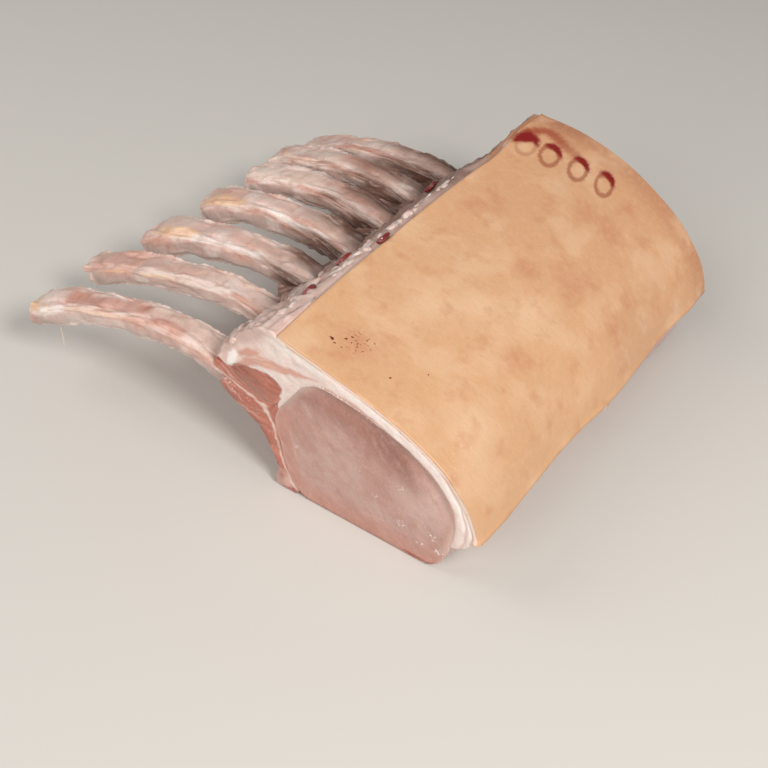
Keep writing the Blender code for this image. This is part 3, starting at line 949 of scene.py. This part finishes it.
def add_fat(material):
    body = fat_block()
    on_strip = (body.u == 0) * 1.0
    depth = distance_to(body.section, RIND_LINE[::4])
    grooves = sum(inked(body.section, line, 0.0013) for line in LIP_GROOVES)
    lobes = np.abs(np.sin(2 * math.pi * body.w)) ** 0.6
    relief = 0.00022 * body.rough(0.006, 31)
    strip_lumps = body.rough((0.006, 0.008, 0.005), 41) + 0.7 * body.rough(0.003, 45)
    from_rind = short_of(body.w, 0.94, 0.06)
    relief += on_strip * 0.0013 * strip_lumps * from_rind
    relief += 0.0018 * (lobes - 0.6) * past(body.u, 0.95, 0.05)
    inner_side = (body.w == 0) | (body.u > 0.999) * (body.w < 0.5)
    relief = np.where(inner_side, 0.0, relief) * (1 - (1 - body.on_cut) * (body.w > 0.97))
    body.swell(np.where(body.from_cut == 0, 0.0, relief))
    from_edge = np.linalg.norm(body.section - RIND_LINE[0], axis=1)
    begin = rind_start(body.y)
    on_top = short_of(from_edge, begin, 0.001) * past(body.w, 0.9, 0.1)
    tucked = tuck(body.y)
    body.points += on_strip[:, None] * strip_change(body.y, body.w)
    moved = (1 - on_strip) * (body.w > 0.97) * tucked * np.maximum(0.0, begin - from_edge)
    body.points += moved[:, None] * RIND_WAY
    body.points[:, 2] += on_top * (1 - tucked) * (RIND_THICK - 0.0003 + 0.0006 * strip_lumps)
    lip = 0.0005 * under_fat(body.section) * smooth(body.rim / 0.0016)
    lip += 0.0003 * rough(body.section_places, 0.005, 33)
    lip += 0.0007 * inked(body.section, WHITE_LUMP, 0.002) - 0.001 * np.minimum(grooves, 1.0)
    body.push(lip)

    layers = noise(np.stack([depth, body.section[:, 0] * 0.12, body.y * 0], -1), 0.0013, 51)
    bright = short_of(depth, 0.008, 0.003) * past(depth, 0.0028, 0.001)
    tone = layered(FAT_WHITE, [
        (FAT_PINK, 0.4 * smooth(layers * 1.4)),
        (FAT_PINK, 0.45 * smooth(body.rough(0.007, 53))),
        (FAT_BRIGHT, 0.45 * bright),
        (FAT_PINK, 0.7 * within(body.w, 0.14)),
    ])
    tone = cut_marked(body, tone)
    shown = np.maximum(on_strip * (1 - 0.6 * body.on_cut), on_top * (1 - body.on_cut))
    tone = blend(tone, strip_tone(body, strip_lumps), shown)
    body.become("back_fat", tone, body.points, material, "fat", "fat_cap", glint_places(body))


# ---------------- the muscles
def add_eye(material):
    us, ws, vs = eased(128, 0.35), eased(92, 0.35), eased(48, 0.75)
    low = along(EYE_FOOT, us)
    high = along(part_of(EYE_ROUND, EYE_SHOULDER, EYE_HIP), us)
    left = part_of(EYE_ROUND, EYE_CURVE[0], EYE_SHOULDER)
    right = part_of(EYE_ROUND, EYE_CURVE[-1], EYE_HIP)
    body = Body(low, high, left, right, us, ws, vs)
    x, z = body.section.T
    inside = smooth(body.rim / 0.0012)
    dome = 0.0013 * smooth(body.rim / 0.028)
    sunk = 0.0023 * under_fat(body.section) * (1 - smooth(body.rim / 0.013))
    relief = inside * (0.00026 * body.rough(0.007, 71) + 0.00011 * body.rough(0.0024, 75))
    foot = short_of(z, 0.006, 0.004)
    body.swell(-0.0008 * within(body.edge, 0.0018) * foot * (x > -0.034))
    body.push(np.where(body.cut, dome + relief, 0.0) - sunk)
    low_side = past(x, 0.036, 0.012) * short_of(z, 0.034, 0.012) * smooth(z / 0.004)
    outwards_by = 0.0045 + 0.0007 * body.rough(0.01, 77)
    body.swell(low_side * smooth(body.from_cut / 0.03) * outwards_by)

    patches = body.rough(0.014, 81)
    tilted = np.stack([0.8 * x + 0.6 * z, body.y, 0.8 * z - 0.6 * x], -1)
    fibres = rough(tilted, (0.0026, 0.02, 0.0075), 85)
    grey = np.hypot(x - EYE_GREY[0], z - EYE_GREY[1]) / EYE_GREY[2]
    # Painted shade under the fat's proud lip on the eye's upper right, darkest at its core.
    shade = inked(body.section, EYE_SHADE, 0.0095)
    beside_fat = past(x, 0.036, 0.012) * past(z, 0.01, 0.01)
    beside_seam = short_of(x, -0.014, 0.012) * past(z, 0.05, 0.012)
    side = (1 - body.on_cut) * past(x, 0.04, 0.008)
    tone = layered(EYE, [
        (EYE_PALE, 0.7 * smooth(0.25 + 0.7 * patches)),
        (EYE_PINK, 0.6 * smooth((-0.03 - x) / 0.01 + 0.4 * patches)),
        (EYE_PINK, 0.75 * smooth((0.018 - z) / 0.016 + 0.3 * patches)),
        (EYE_PALE, 0.8 * smooth(1.2 - grey)),
        (EYE_BROWN_AND_SHADE, shade * (0.75 + 0.15 * patches)),
        (EYE_SHADE_DEEP, 0.7 * inked(body.section, EYE_SHADE_CORE, 0.006)),
        (EYE_PALE, 0.22 * smooth(fibres * 1.4 - 0.2)),
        (EYE_BROWN_AND_SHADE, 0.16 * smooth(-fibres * 1.4 - 0.2)),
        *((EYE_EDGE, 0.45 * body.on_cut * inked(body.section, line, 0.0007)) for line in EYE_STREAKS),
        (EYE_EDGE, 0.75 * beside_fat * within(body.rim, 0.0045)),
        (EYE_EDGE, 0.35 * within(body.rim, 0.0016) * body.on_cut),
        (FAT_GREY, 0.65 * beside_seam * within(body.rim, 0.005) * body.on_cut),
    ])
    tone = layered(cut_marked(body, tone), [
        (LINING, 0.75 * side),
        (SIDE_LILAC, 0.8 * side * smooth(body.y / 0.03)),
    ])
    flow = np.stack([tilted[:, 2], tilted[:, 0], body.y], -1)
    body.become("loin_eye_muscle", tone, flow, material, "pale_meat", "loin_eye", glint_places(body))


def add_cap(material):
    us, ws, vs = eased(70, 0.4), eased(46, 0.4), eased(50, 0.75)
    upper = part_of(CAP_ROUND[:-8], CAP_TIP, CAP_CORNER)
    lower = part_of(CAP_ROUND[8:], CAP_BOTTOM, CAP_TIP)[::-1]
    right = part_of(CAP_ROUND, CAP_BOTTOM, CAP_CORNER)
    left = np.array([lower[0], upper[0]])
    body = Body(along(lower, us), along(upper, us), left, right, us, ws, vs)
    x, z = body.section.T
    relief = 0.0012 * smooth(body.rim / 0.008)
    relief += 0.00025 * smooth(body.rim / 0.001) * rough(body.section_places, (0.012, 0.01, 0.002), 91)
    body.push(np.where(body.cut, relief, 0.0))

    tilted = np.stack([0.97 * x - 0.24 * z, body.y, 0.97 * z + 0.24 * x], -1)
    fibres = rough(tilted, (0.01, 0.02, 0.0017), 95)
    tone = layered(CAP, [
        (BAND, 0.55 * past(x, -0.058, 0.012)),
        (CAP_DARK, 0.85 * short_of(x, -0.054, 0.018) * past(z, 0.058, 0.01)),
        (BAND, 0.45 * smooth(fibres * 1.5)),
        (CAP_DARK, 0.35 * smooth(-fibres * 1.5)),
        (LEAN, 0.6 * within(body.rim, 0.0018) * body.on_cut),
    ])
    tone = cut_marked(body, tone)
    body.become("cap_muscle_piece", tone, tilted, material, "dark_meat", "cap_muscle")


def add_rib_meat(material):
    us, ws, vs = np.linspace(0, 1, 110), np.linspace(0, 1, 25), eased(170, 0.6)
    beside_eye = part_of(EYE_ROUND, EYE_CURVE[0], EYE_SHOULDER)
    under_cap = part_of(CAP_ROUND[8:], (-0.043, 0.059), CAP_TIP)
    high_line = np.vstack([FOOT[-1], beside_eye, KNOT, under_cap, JOINT[-1]])
    low = matched(high_line, CHEST_LINE, us, loosen=0.35)
    high = along(high_line, us)
    body = Body(low, high, np.array(FOOT), np.array(JOINT), us, ws, vs, fade=9.0, ridged=True)
    x, z = body.section.T
    chest = (body.w == 0) * 1.0
    by_rib = rib_nearness(body.y)
    relief = chest * (0.0003 * body.rough(0.006, 101) + 0.0005 * body.rough(0.012, 105))
    relief += chest * 0.0013 * near(z, 0.0048, 0.0075)
    relief -= 0.0009 * within(body.edge, 0.002) * chest
    body.swell(relief)
    bulge = inked(body.section, FOOT_BULGE, 0.0025)
    along_band = rough(body.section_places * np.array((0.4, 1.0, 1.0)), 0.003, 107)
    body.push(smooth(body.rim / 0.001) * (0.0014 * bulge + 0.00035 * along_band))

    outer_side = within(body.w, 0.4)
    streaks = rough(body.section_places * np.array((0.35, 1.0, 1.0)), 0.0026, 111)
    from_spot = np.hypot(x - RED_SPOT[0], z - RED_SPOT[1])
    tone = layered(BAND, [
        (LEAN, body.on_cut * 0.45 * smooth(streaks * 1.3)),
        (BAND_RED, body.on_cut * (0.15 + 0.65 * outer_side) * smooth(0.6 - 0.5 * streaks)),
        (RIB_PALE, 0.55 * short_of(z, 0.016, 0.008)),
        (BAND_RED, 0.7 * body.on_cut * within(from_spot, RED_SPOT[2])),
    ])
    tone = cut_marked(body, tone)
    patches = body.rough(0.011, 115)
    lining = layered(BAND, [
        (LINING, 0.85 * (by_rib ** 2 * short_of(z, 0.064, 0.006))),
        (BAND_RED, 0.55 * (1 - by_rib) * smooth(0.5 + patches)),
        (SINEW, 0.35 * smooth(patches * 1.4 - 0.4)),
    ])
    tone = blend(tone, lining, chest * (1 - 0.8 * body.on_cut))
    flow = np.stack([body.y, x, z], -1)
    body.become("chest_meat_piece", tone, flow, material, "chest_meat", "rib_meat", glint_places(body))


# ---------------- the ribs
def rib_axis(index, t):
    """Points on a rib's centre line, from its socket at t = 0 to its tip at t = 1."""
    tip = np.array(RIB_TIPS[index])
    base_y, lift = RIB_BASE_Y[index], RIB_LIFT[index]
    lean = 0.4 * (tip[1] - base_y)
    knots = (
        np.array((RIB_ROOT[0], base_y, RIB_ROOT[1])),
        np.array((RIB_BEND_NEAR[0], base_y, RIB_BEND_NEAR[1] + lift)),
        np.array((RIB_BEND_FAR[0], base_y + lean, RIB_BEND_FAR[1] + lift)),
        tip,
    )
    t = np.asarray(t)[..., None]
    weights = ((1 - t) ** 3, 3 * t * (1 - t) ** 2, 3 * t * t * (1 - t), t ** 3)
    return sum(k * w for k, w in zip(knots, weights))


def rib_girth(index, t):
    """Half width and half depth of a rib."""
    beat = 1.7 * index
    flare = 0.06 * np.exp(-(((t - 0.2) / 0.14) ** 2))
    knob = RIB_KNOB[index] * np.exp(-(((t - 0.93) / 0.1) ** 2))
    uneven = 0.05 * np.sin(9.0 * t + beat) + 0.03 * np.sin(21.0 * t + 2 * beat)
    socket = -0.18 * (1 - smooth(t / 0.12))
    width = RIB_HALF_WIDTH * RIB_SIZE[index] * (1 + flare + knob + uneven + socket)
    depth = RIB_HALF_DEPTH * RIB_SIZE[index] * (1 + 0.6 * flare + knob - uneven + socket)
    return width, depth


RIB_ROWS, RIB_COLUMNS = 166, 88
RIB_FLOW_RADIUS = 0.008  # the flow is laid round every rib at that radius
RIB_FLOW_STEP = 0.1  # and lies that far from the next rib's, so that no two ribs are alike
RIB_WARP = 6500  # degrees that a mark moves round its rib, for a metre of sway
# Angles round a rib, in degrees: 0 faces the far cut, 90 up, 180 the near cut and 270 down.
FRILL_ANGLES = (48.0, 228.0)
# Each rib's marks: from and to, in mm from the tip, then angle, half width in degrees and colour.
RIB_MARKS = [
    [(26, 80, 100, 20, LEAN), (88, 104, 118, 22, LEAN), (8, 28, 150, 30, FAT_BRIGHT),
     (0, 11, 120, 40, BONE_TIP), (8, 26, 100, 24, FAT_WHITE), (30, 70, 150, 14, BONE_CREAM),
     # Rib 1's grey mark under its tip is painted shade in the hollow there.
     (2, 18, 192, 24, BONE_SHADE_GREY), (108, 124, 140, 26, FAT_WHITE), (92, 98, 104, 8, RIB_CREASE)],
    [(4, 34, 112, 30, RIB_PINK), (50, 84, 142, 20, BONE_WHITE), (44, 66, 152, 10, BONE_TIP),
     (88, 104, 128, 26, FAT_WHITE), (40, 80, 96, 16, RIB_PINK), (104, 124, 132, 18, LEAN),
     (16, 34, 158, 12, BONE_TIP)],
    [(0, 10, 110, 70, RIB_PINK), (12, 42, 118, 24, BONE_TIP), (38, 84, 134, 26, FAT_BRIGHT),
     (60, 94, 96, 16, RIB_PINK)],
    [(4, 34, 112, 26, BONE_TIP), (50, 92, 130, 24, FAT_BRIGHT), (62, 80, 160, 16, RIB_CREASE),
     (34, 60, 150, 18, RIB_PINK)],
    [(6, 70, 114, 28, BONE_WHITE), (44, 74, 150, 16, LEAN), (60, 90, 108, 14, FAT_WHITE)],
    [(0, 44, 118, 14, BONE_CREAM), (40, 74, 132, 20, RIB_CREASE)],
    [(30, 80, 130, 16, LEAN)],
]
TIP_ROUND = [  # how much of the girth is left, and how far out it is
    (0.985, 0.0012), (0.955, 0.002), (0.9, 0.0027), (0.8, 0.0032), (0.66, 0.0035), (0.48, 0.0036),
    (0.3, 0.0037), (0.12, 0.0037),
]
SHADED_FROM = [-0.094, -0.108, -0.13, -0.134, -0.142, -0.146, -0.144]  # X where the painted shade starts, in the body's shadow on each rib
RIB_SHADE = (0.95, 0.91, 0.94, 0.95, 1.0, 0.91, 0.9)  # how bright each rib's surface is


def rib_surface(index):
    """The rib's points, quads and end faces, with how far along, round and inside it each point lies."""
    rounding = np.array(TIP_ROUND)
    t = np.concatenate([np.linspace(0.0, 1.0, RIB_ROWS), np.ones(len(rounding))])
    shrink = np.concatenate([np.ones(RIB_ROWS), rounding[:, 0]])
    ahead = np.concatenate([np.zeros(RIB_ROWS), rounding[:, 1]])
    angle = np.arange(RIB_COLUMNS) * 360.0 / RIB_COLUMNS
    centre = rib_axis(index, t)
    way = rib_axis(index, t + 0.01) - rib_axis(index, t - 0.01)
    way /= np.linalg.norm(way, axis=1, keepdims=True)
    across = np.cross(way, (0.0, 0.0, 1.0))
    across /= np.linalg.norm(across, axis=1, keepdims=True)
    up = np.cross(across, way)
    width, depth = rib_girth(index, t)
    turn = np.radians(angle)
    side, rise = (np.sign(part) * np.abs(part) ** RIB_SQUARENESS
                  for part in (np.cos(turn), np.sin(turn)))
    centre = centre + way * ahead[:, None]
    grid = (centre[:, None] + across[:, None] * np.outer(width * shrink, side)[..., None]
            + up[:, None] * np.outer(depth * shrink, rise)[..., None])
    number = np.arange(grid.shape[0] * RIB_COLUMNS).reshape(-1, RIB_COLUMNS)
    turned = np.roll(number, -1, axis=1)
    quads = np.stack([number[:-1], number[1:], turned[1:], turned[:-1]], -1).reshape(-1, 4)
    reach = np.concatenate([[0], np.cumsum(np.linalg.norm(np.diff(centre, axis=0), axis=1))])
    from_tip, core = np.repeat(reach[-1] - reach, RIB_COLUMNS), np.repeat(1 - shrink, RIB_COLUMNS)
    points = grid.reshape(-1, 3)
    turned_quads = outwards(points, quads)
    ends = [number[0].tolist(), number[-1][::-1].tolist()]
    if turned_quads[0, 0] != quads[0, 0]:
        ends = [end[::-1] for end in ends]
    return points, turned_quads, ends, from_tip, np.tile(angle, len(t)), core


def angle_near(angle, centre, reach):
    """near() for angles in degrees."""
    return within(np.abs((angle - centre + 180) % 360 - 180), reach)


def rib_marked(index, tone, from_tip, warped, streaks):
    """The tone with the rib's marks over it, and how deep the lean ones are sunk."""
    sunk = np.zeros(len(from_tip))
    for start, end, centre, reach, tint in RIB_MARKS[index]:
        lengthwise = smooth((from_tip - start / 1000) / 0.007 + 0.5)
        lengthwise = lengthwise * smooth((end / 1000 - from_tip) / 0.007 + 0.5)
        inside = smooth((reach - np.abs(warped - centre)) / 12 + 0.5 * streaks) * lengthwise
        tone = blend(tone, tint, 0.68 * inside)
        if tint is LEAN:
            tone = blend(tone, RIB_CREASE, 1.8 * inside * (1 - inside))
            sunk += 0.0004 * inside
    return tone, sunk


def add_rib(index, material):
    points, quads, ends, from_tip, angle, core = rib_surface(index)
    seed = 200 + 10 * index
    turn = np.radians(angle)
    across, up = RIB_FLOW_RADIUS * np.cos(turn), RIB_FLOW_RADIUS * np.sin(turn)
    flow = np.stack([from_tip, across, up + RIB_FLOW_STEP * index], -1)
    sway = 0.002 * noise(flow, (0.015, 0.02, 0.02), seed + 8)
    swayed = flow + np.stack([0 * sway, sway, -sway], -1)
    folds = noise(swayed, (0.026, 0.0052, 0.0052), seed)
    folds = folds + 0.35 * noise(swayed, (0.011, 0.003, 0.003), seed + 1)
    rolls = np.minimum(np.abs(folds), 0.8) ** 0.55
    # The creases between the rolls get painted shade over their own red-brown.
    shaded_crease = within(np.abs(folds), 0.2)
    zone = noise(swayed, (0.022, 0.0056, 0.0056), seed + 3)
    streaks = rough(swayed, (0.018, 0.0022, 0.0022), seed + 2)
    lumps = rough(flow, (0.016, 0.007, 0.007), seed + 4)
    crumbs = rough(flow, (0.003, 0.0018, 0.0018), seed + 7)
    at_tip = within(from_tip, 0.012)
    warped = angle + RIB_WARP * sway
    inner = past(points[:, 0], SHADED_FROM[index], 0.034)

    frill = sum(angle_near(warped, a, 16) for a in FRILL_ANGLES)
    nibbled = np.abs(noise(flow, (0.003, 0.02, 0.02), seed + 9))
    relief = 0.0014 * (rolls - 0.6) + 0.00095 * lumps + 0.00026 * streaks + 0.00012 * crumbs
    relief += frill * (0.001 * nibbled + 0.0002)
    relief += at_tip * (0.0014 * lumps + 0.0008 * crumbs)

    top = angle_near(warped, 84, 60)
    corner = angle_near(warped, 136, 36)
    face = angle_near(warped, 200, 50)
    patches = noise(swayed, (0.011, 0.0042, 0.0042), seed + 5)
    tone = layered(RIB_PALE, [
        (BONE_CREAM, 0.32 * past(zone, 0.05, 0.35) * np.maximum(top, corner)),
        (RIB_PINK, 0.8 * smooth((-zone - 0.02) / 0.35)),
        # The lower near face: partly the grey lilac of its membrane, partly painted shade.
        (BONE_LILAC_AND_SHADE, 0.8 * face),
        (BONE_WHITE, 0.5 * corner * smooth(0.5 + streaks)),
        (RIB_PINK, 0.45 * smooth(-streaks - 0.1)),
        (RIB_ORANGE, 0.62 * smooth(patches * 2.4 - 0.4) * (1 - face)),
        (FAT_WHITE, 0.62 * smooth(-patches * 2.4 - 0.3)),
    ])
    tone, sunk = rib_marked(index, tone, from_tip, warped, streaks)
    relief -= sunk
    # Painted light near the body, which shades the ribs there: brown painted shade, darker on the sides,
    # for the far ribs and beside the strip, and a painted highlight on the streaks of the tops.
    sides = 1 - angle_near(warped, 105, 70 - 4 * index)
    painted_shade = inner * smooth(0.9 + 0.7 * lumps)
    tone = layered(RIB_SHADE[index] * tone, [
        (RIB_CREASE, 0.24 * shaded_crease * smooth(0.6 + 0.8 * lumps)),
        (FAT_WHITE, 0.7 * frill * smooth(nibbled * 3)),
        (RIB_PINK, 0.2 * at_tip * smooth(0.4 + lumps)),
        (FAT_WHITE, 0.45 * inner * (1 - sides) * smooth(streaks)),
        (MAUVE_AND_SHADE, (0.2 + 0.09 * index) * painted_shade),
        (BROWN_AND_SHADE, 0.94 * painted_shade * smooth(1.5 * sides)),
        (SHADE_DARK, 0.85 * sides * past(points[:, 0], -0.112, 0.02) * (index > 1)),
        (BONE_CREAM, 0.8 * smooth(core / 0.08)),
        (RIB_CREASE, 0.7 * past(core, 0.3, 0.15)),
    ])
    relief += inner * 0.0008 * streaks
    relief *= (1 - past(from_tip, 0.15, 0.01)) * (1 - 0.75 * smooth(core / 0.15))
    points = points + normals_of(points, quads) * relief[:, None]
    add_piece(f"rib_bone_{index + 1}", points, quads, tone, flow, material, "rib_bone", f"rib_{index + 1}",
              ends=ends)


# ---------------- between the ribs
WEBS = [(1, -0.11), (2, -0.103), (3, -0.112), (4, -0.118), (5, -0.12)]  # rib before, X of the free edge
WEB_ROOT = -0.074
WEB_SAG = 0.005
BLOOD_POOLS = [(-0.0822, 0.81), (-0.0495, 0.73), (-0.0302, 0.96), (0.0535, 0.28)]  # Y, share of the strip
FAT_LUMPS = [  # Y, share of the strip's height and size
    (-0.0418, 0.2, 0.003), (-0.0446, 0.86, 0.003), (-0.0156, 0.42, 0.0034), (-0.0184, 0.9, 0.0028),
    (-0.0046, 0.9, 0.0028), (-0.093, 0.2, 0.0034), (-0.106, 0.14, 0.0036), (-0.076, 0.55, 0.0032),
]
CRUMB_COUNT = 64
CRUMB_START, CRUMB_RUN = -0.117, 0.16  # along the rack
SHREDS = mm(  # X, Y, Z and three half sizes
    (-207.9, -123.8, 33.1, 1.1, 1.1, 4.2), (-191.9, -126, 31.2, 0.26, 0.26, 8.2),
    (-209.5, -83, 45.2, 3.4, 1.3, 1.1), (-206.4, -85.8, 36, 1, 1, 3), (-196, -52, 44, 2.2, 1.6, 1.2),
)
POOL_SIZE = (0.0017, 0.0046, 0.0041)
WHITE_SPOT = (0.0664, 0.0084, 0.0195)  # a lump of fat under the rind's low edge
WHITE_SPOT_SIZE = (0.0014, 0.005, 0.003)
FOLD_PLACE = (0.052, 0.074, 0.0092)  # a fold of meat that spreads out under that edge
FOLD_SIZE = (0.0106, 0.048, 0.0092)


def rib_line(index, x):
    """The points of a rib's centre line that have those X."""
    line = rib_axis(index, np.linspace(0, 1, 300))
    return np.stack([np.interp(-x, -line[:, 0], line[:, k]) for k in range(3)], -1)


def web_place(index, x, share):
    """A place on the sagging sheet of tissue between a rib and the next one."""
    place = blend(rib_line(index, x), rib_line(index + 1, x), share)
    close = past(x, -0.104, 0.022)
    place[..., 2] += 0.006 * close - 0.001 - WEB_SAG * (1 - 0.75 * close) * 4 * share * (1 - share)
    return place


def add_webs(material):
    parts, tones = [], []
    for index, edge in WEBS:
        quads, u, w, v = block(eased(36, 0.2), np.linspace(0, 1, 3), np.linspace(0, 1, 44))
        uneven = noise(np.stack([v, 0 * v, 0 * v], -1), 0.22, index)
        open_side = 0.013 * 4 * v * (1 - v) * (1 + 0.5 * uneven)
        x = WEB_ROOT + (edge + open_side - WEB_ROOT) * u
        points = web_place(index, x, v)
        fan = np.stack([x * 0.25, points[:, 1] * (1 + 8 * (x + 0.08)), 0 * x], -1)
        folds = noise(fan, 0.003, 300 + index) + 0.5 * noise(fan, 0.0015, 310 + index)
        thick = 0.0006 + 0.001 * smooth(1 - u)
        points[:, 2] += 0.0012 * folds + (w - 0.5) * 2 * thick
        parts.append((points, outwards(points, quads)))
        patches = rough(points, 0.007, 320)
        # Brown tissue with painted shade over it, darkest near the strip.
        tone = layered(BROWN_AND_SHADE, [
            (MAUVE_AND_SHADE, 0.8 * smooth(folds + 0.3)),
            (FAT_GREY, 0.45 * smooth(folds * 1.5 - 0.6)),
            (RIB_CREASE, 0.35 * smooth(patches)),
            (SHADE_DARK, 0.85 * past(x, -0.1, 0.018) * smooth(0.8 + patches)),
        ])
        tones.append(tone)
    points, quads = joined(parts)
    add_piece("webs_between_ribs", points, quads, np.vstack(tones), points, material, "chest_meat")


def add_fold(material):
    """The meat that spreads out on the ground under the rind's low edge."""
    points, quads = blob(FOLD_PLACE, FOLD_SIZE, 91, 0.16, 30)
    points[:, 0] += 0.0008 * rough(points, 0.01, 93)
    points = points + normals_of(points, quads) * (0.0005 * rough(points, 0.0036, 95))[:, None]
    points[:, 2] = np.maximum(points[:, 2], 0.0002)
    tone = blend(SIDE_LILAC, EYE_PALE, smooth(rough(points, 0.012, 441)))
    add_piece("fold_under_edge", points, quads, tone, points, material, "pale_meat")


def add_shreds(material):
    """Drops and shreds at the rib tips."""
    shreds = [blob(shred[:3], shred[3:], k + 1) for k, shred in enumerate(SHREDS)]
    points, quads = joined(shreds)
    add_piece("shreds_at_tips", points, quads, BONE_CREAM, points, material, "rib_bone")


def add_lumps(material):
    """Lumps and crumbs of fat on the strip, and one under the rind's low edge."""
    lumps = []
    for k, (y, share, size) in enumerate(FAT_LUMPS):
        sizes = (0.6 * size, 1.2 * size, 0.9 * size)
        lumps.append(blob(strip_place(y, share, -0.3 * size), sizes, 10 + k, 0.42, 15, STRIP_AXES))
    lumps.append(blob(WHITE_SPOT, WHITE_SPOT_SIZE, 29, 0.45, 15))
    large = sum(len(points) for points, _ in lumps)
    for k in range(CRUMB_COUNT):
        chance = cell_value(np.array([(k, n, 7) for n in range(4)]), 401)
        y = CRUMB_START + CRUMB_RUN * (k + 0.4 * chance[0]) / CRUMB_COUNT
        share = 0.66 + 0.24 * chance[1] if y < -0.06 else 0.84 + 0.08 * chance[1]
        size = (0.0027 + 0.0009 * chance[2]) * (1.0 if y < -0.03 else 0.75)
        sizes = (0.8 * size, (1.5 + 0.5 * chance[3]) * size, 0.9 * size)
        lumps.append(blob(strip_place(y, share, -0.55 * size), sizes, 30 + k, 0.34, 11, STRIP_AXES))
    points, quads = joined(lumps)
    tone = layered(STRIP_GREY, [
        (FAT_BRIGHT, np.where(np.arange(len(points)) < large, 0.38, 0.25)),
        (LEAN, 0.35 * smooth(rough(points, 0.006, 411))),
        (FAT_WHITE, 0.35 * smooth(rough(points, 0.004, 421))),
        (BROWN_AND_SHADE, 0.55 * smooth(-rough(points, 0.005, 425) - 0.1)),
    ])
    add_piece("fat_lumps", points, quads, tone, points, material, "fat")


def add_pools(material):
    """Small pools of blood on the strip."""
    pools = [blob(strip_place(y, share, 0.0002), POOL_SIZE, 80 + k, 0.32, 15, STRIP_AXES)
             for k, (y, share) in enumerate(BLOOD_POOLS)]
    points, quads = joined(pools)
    tone = blend(BLOOD, BLOOD_DARK, 0.8 * smooth(rough(points, 0.003, 431)))
    add_piece("blood_pools", points, quads, tone, points, material, "dark_meat")


# ---------------- floor, light and camera
FLOOR_TONE = (0.62, 0.6, 0.57, 1.0)
FLOOR_HALF = 2.5
FLOOR_Z = -0.0003  # a hair below the part, which rests on z = 0


def add_floor():
    mesh = bpy.data.meshes.new("floor")
    corners = [(FLOOR_HALF * x, FLOOR_HALF * y, FLOOR_Z) for x, y in ((-1, -1), (1, -1), (1, 1), (-1, 1))]
    mesh.from_pydata(corners, [], [(0, 1, 2, 3)])
    made = Shader("pale_floor")
    made.fill(made.surface, {"Base Color": FLOOR_TONE, "Roughness": 0.8})
    mesh.materials.append(made.material)
    floor = linked("floor", mesh)


LIGHT_TINT = (1.0, 0.97, 0.93)
LIGHT_AIM = Vector((-0.04, 0.0, 0.05))
LIGHTS = [  # name, place, diameter and watts
    ("key", (0.92, -0.45, 1.0), 0.4, 13.5),
    ("front", (0.05, -1.2, 0.8), 0.9, 6.5),
    ("left", (-0.9, -0.35, 0.95), 0.9, 4.0),
]


def add_lights():
    for name, place, size, watts in LIGHTS:
        data = bpy.data.lights.new(name, "AREA")
        data.shape = "DISK"
        data.size = size
        data.energy = watts
        data.color = LIGHT_TINT
        light = linked(name, data)
        light.location = place
        light.rotation_euler = (LIGHT_AIM - Vector(place)).to_track_quat("-Z", "Y").to_euler()


WORLD_TINT = (1.0, 0.97, 0.94, 1.0)
WORLD_STRENGTH = 0.3


def add_world():
    world = bpy.data.worlds.new("studio")
    world.use_nodes = True
    shade = world.node_tree.nodes["Background"]
    shade.inputs["Color"].default_value = WORLD_TINT
    shade.inputs["Strength"].default_value = WORLD_STRENGTH
    bpy.context.scene.world = world


CAMERA_PLACE = (0.2668, -0.4615, 0.4775)
CAMERA_AZIMUTH = 36.056  # degrees, from the cut face round to the right
CAMERA_ELEVATION = 41.669
CAMERA_LENS = 60.94  # millimetres, for a sensor 36 mm wide


def add_camera():
    data = bpy.data.cameras.new("camera")
    data.sensor_width = 36.0
    data.lens = CAMERA_LENS
    azimuth, elevation = math.radians(CAMERA_AZIMUTH), math.radians(CAMERA_ELEVATION)
    back = Vector((math.sin(azimuth) * math.cos(elevation), -math.cos(azimuth) * math.cos(elevation),
                   math.sin(elevation)))
    camera = linked("camera", data)
    camera.location = CAMERA_PLACE
    camera.rotation_mode = "QUATERNION"
    camera.rotation_quaternion = (-back).to_track_quat("-Z", "Y")
    bpy.context.scene.camera = camera


def main():
    fat = flesh("back_fat", (0.003, 0.0012, 0.0012), 0.006, 0.0001, 0.36, coat=0.25, grain_tint=0.25)
    pale_meat = flesh("loin_meat", (0.002, 0.001, 0.001), 0.005, 0.0001, 0.38, coat=0.3,
                      grain_tint=0.35)
    dark_meat = flesh("cap_meat", (0.005, 0.0008, 0.0008), 0.004, 0.00012, 0.36, coat=0.3)
    chest_meat = flesh("chest_meat", (0.006, 0.001, 0.001), 0.006, 0.00012, 0.34, coat=0.35)
    bone = flesh("rib_bone", (0.011, 0.001, 0.001), 0.004, 0.00016, 0.34, coat=0.45, grain_tint=0.55)
    blood = flesh("blood", (0.003, 0.003, 0.003), 0.004, 0.00004, 0.22, coat=0.8, scatter=0.0,
                  grain_tint=0.1)
    add_rind()
    add_fat(fat)
    add_eye(pale_meat)
    add_cap(dark_meat)
    add_rib_meat(chest_meat)
    for index in range(RIB_COUNT):
        add_rib(index, bone)
    add_webs(chest_meat)
    add_fold(pale_meat)
    add_shreds(bone)
    add_lumps(fat)
    add_pools(blood)
    add_floor()
    add_lights()
    add_world()
    add_camera()
    # Standard shows a painted colour as it is; the default view would wash the meat out.
    bpy.context.scene.view_settings.view_transform = "Standard"


main()
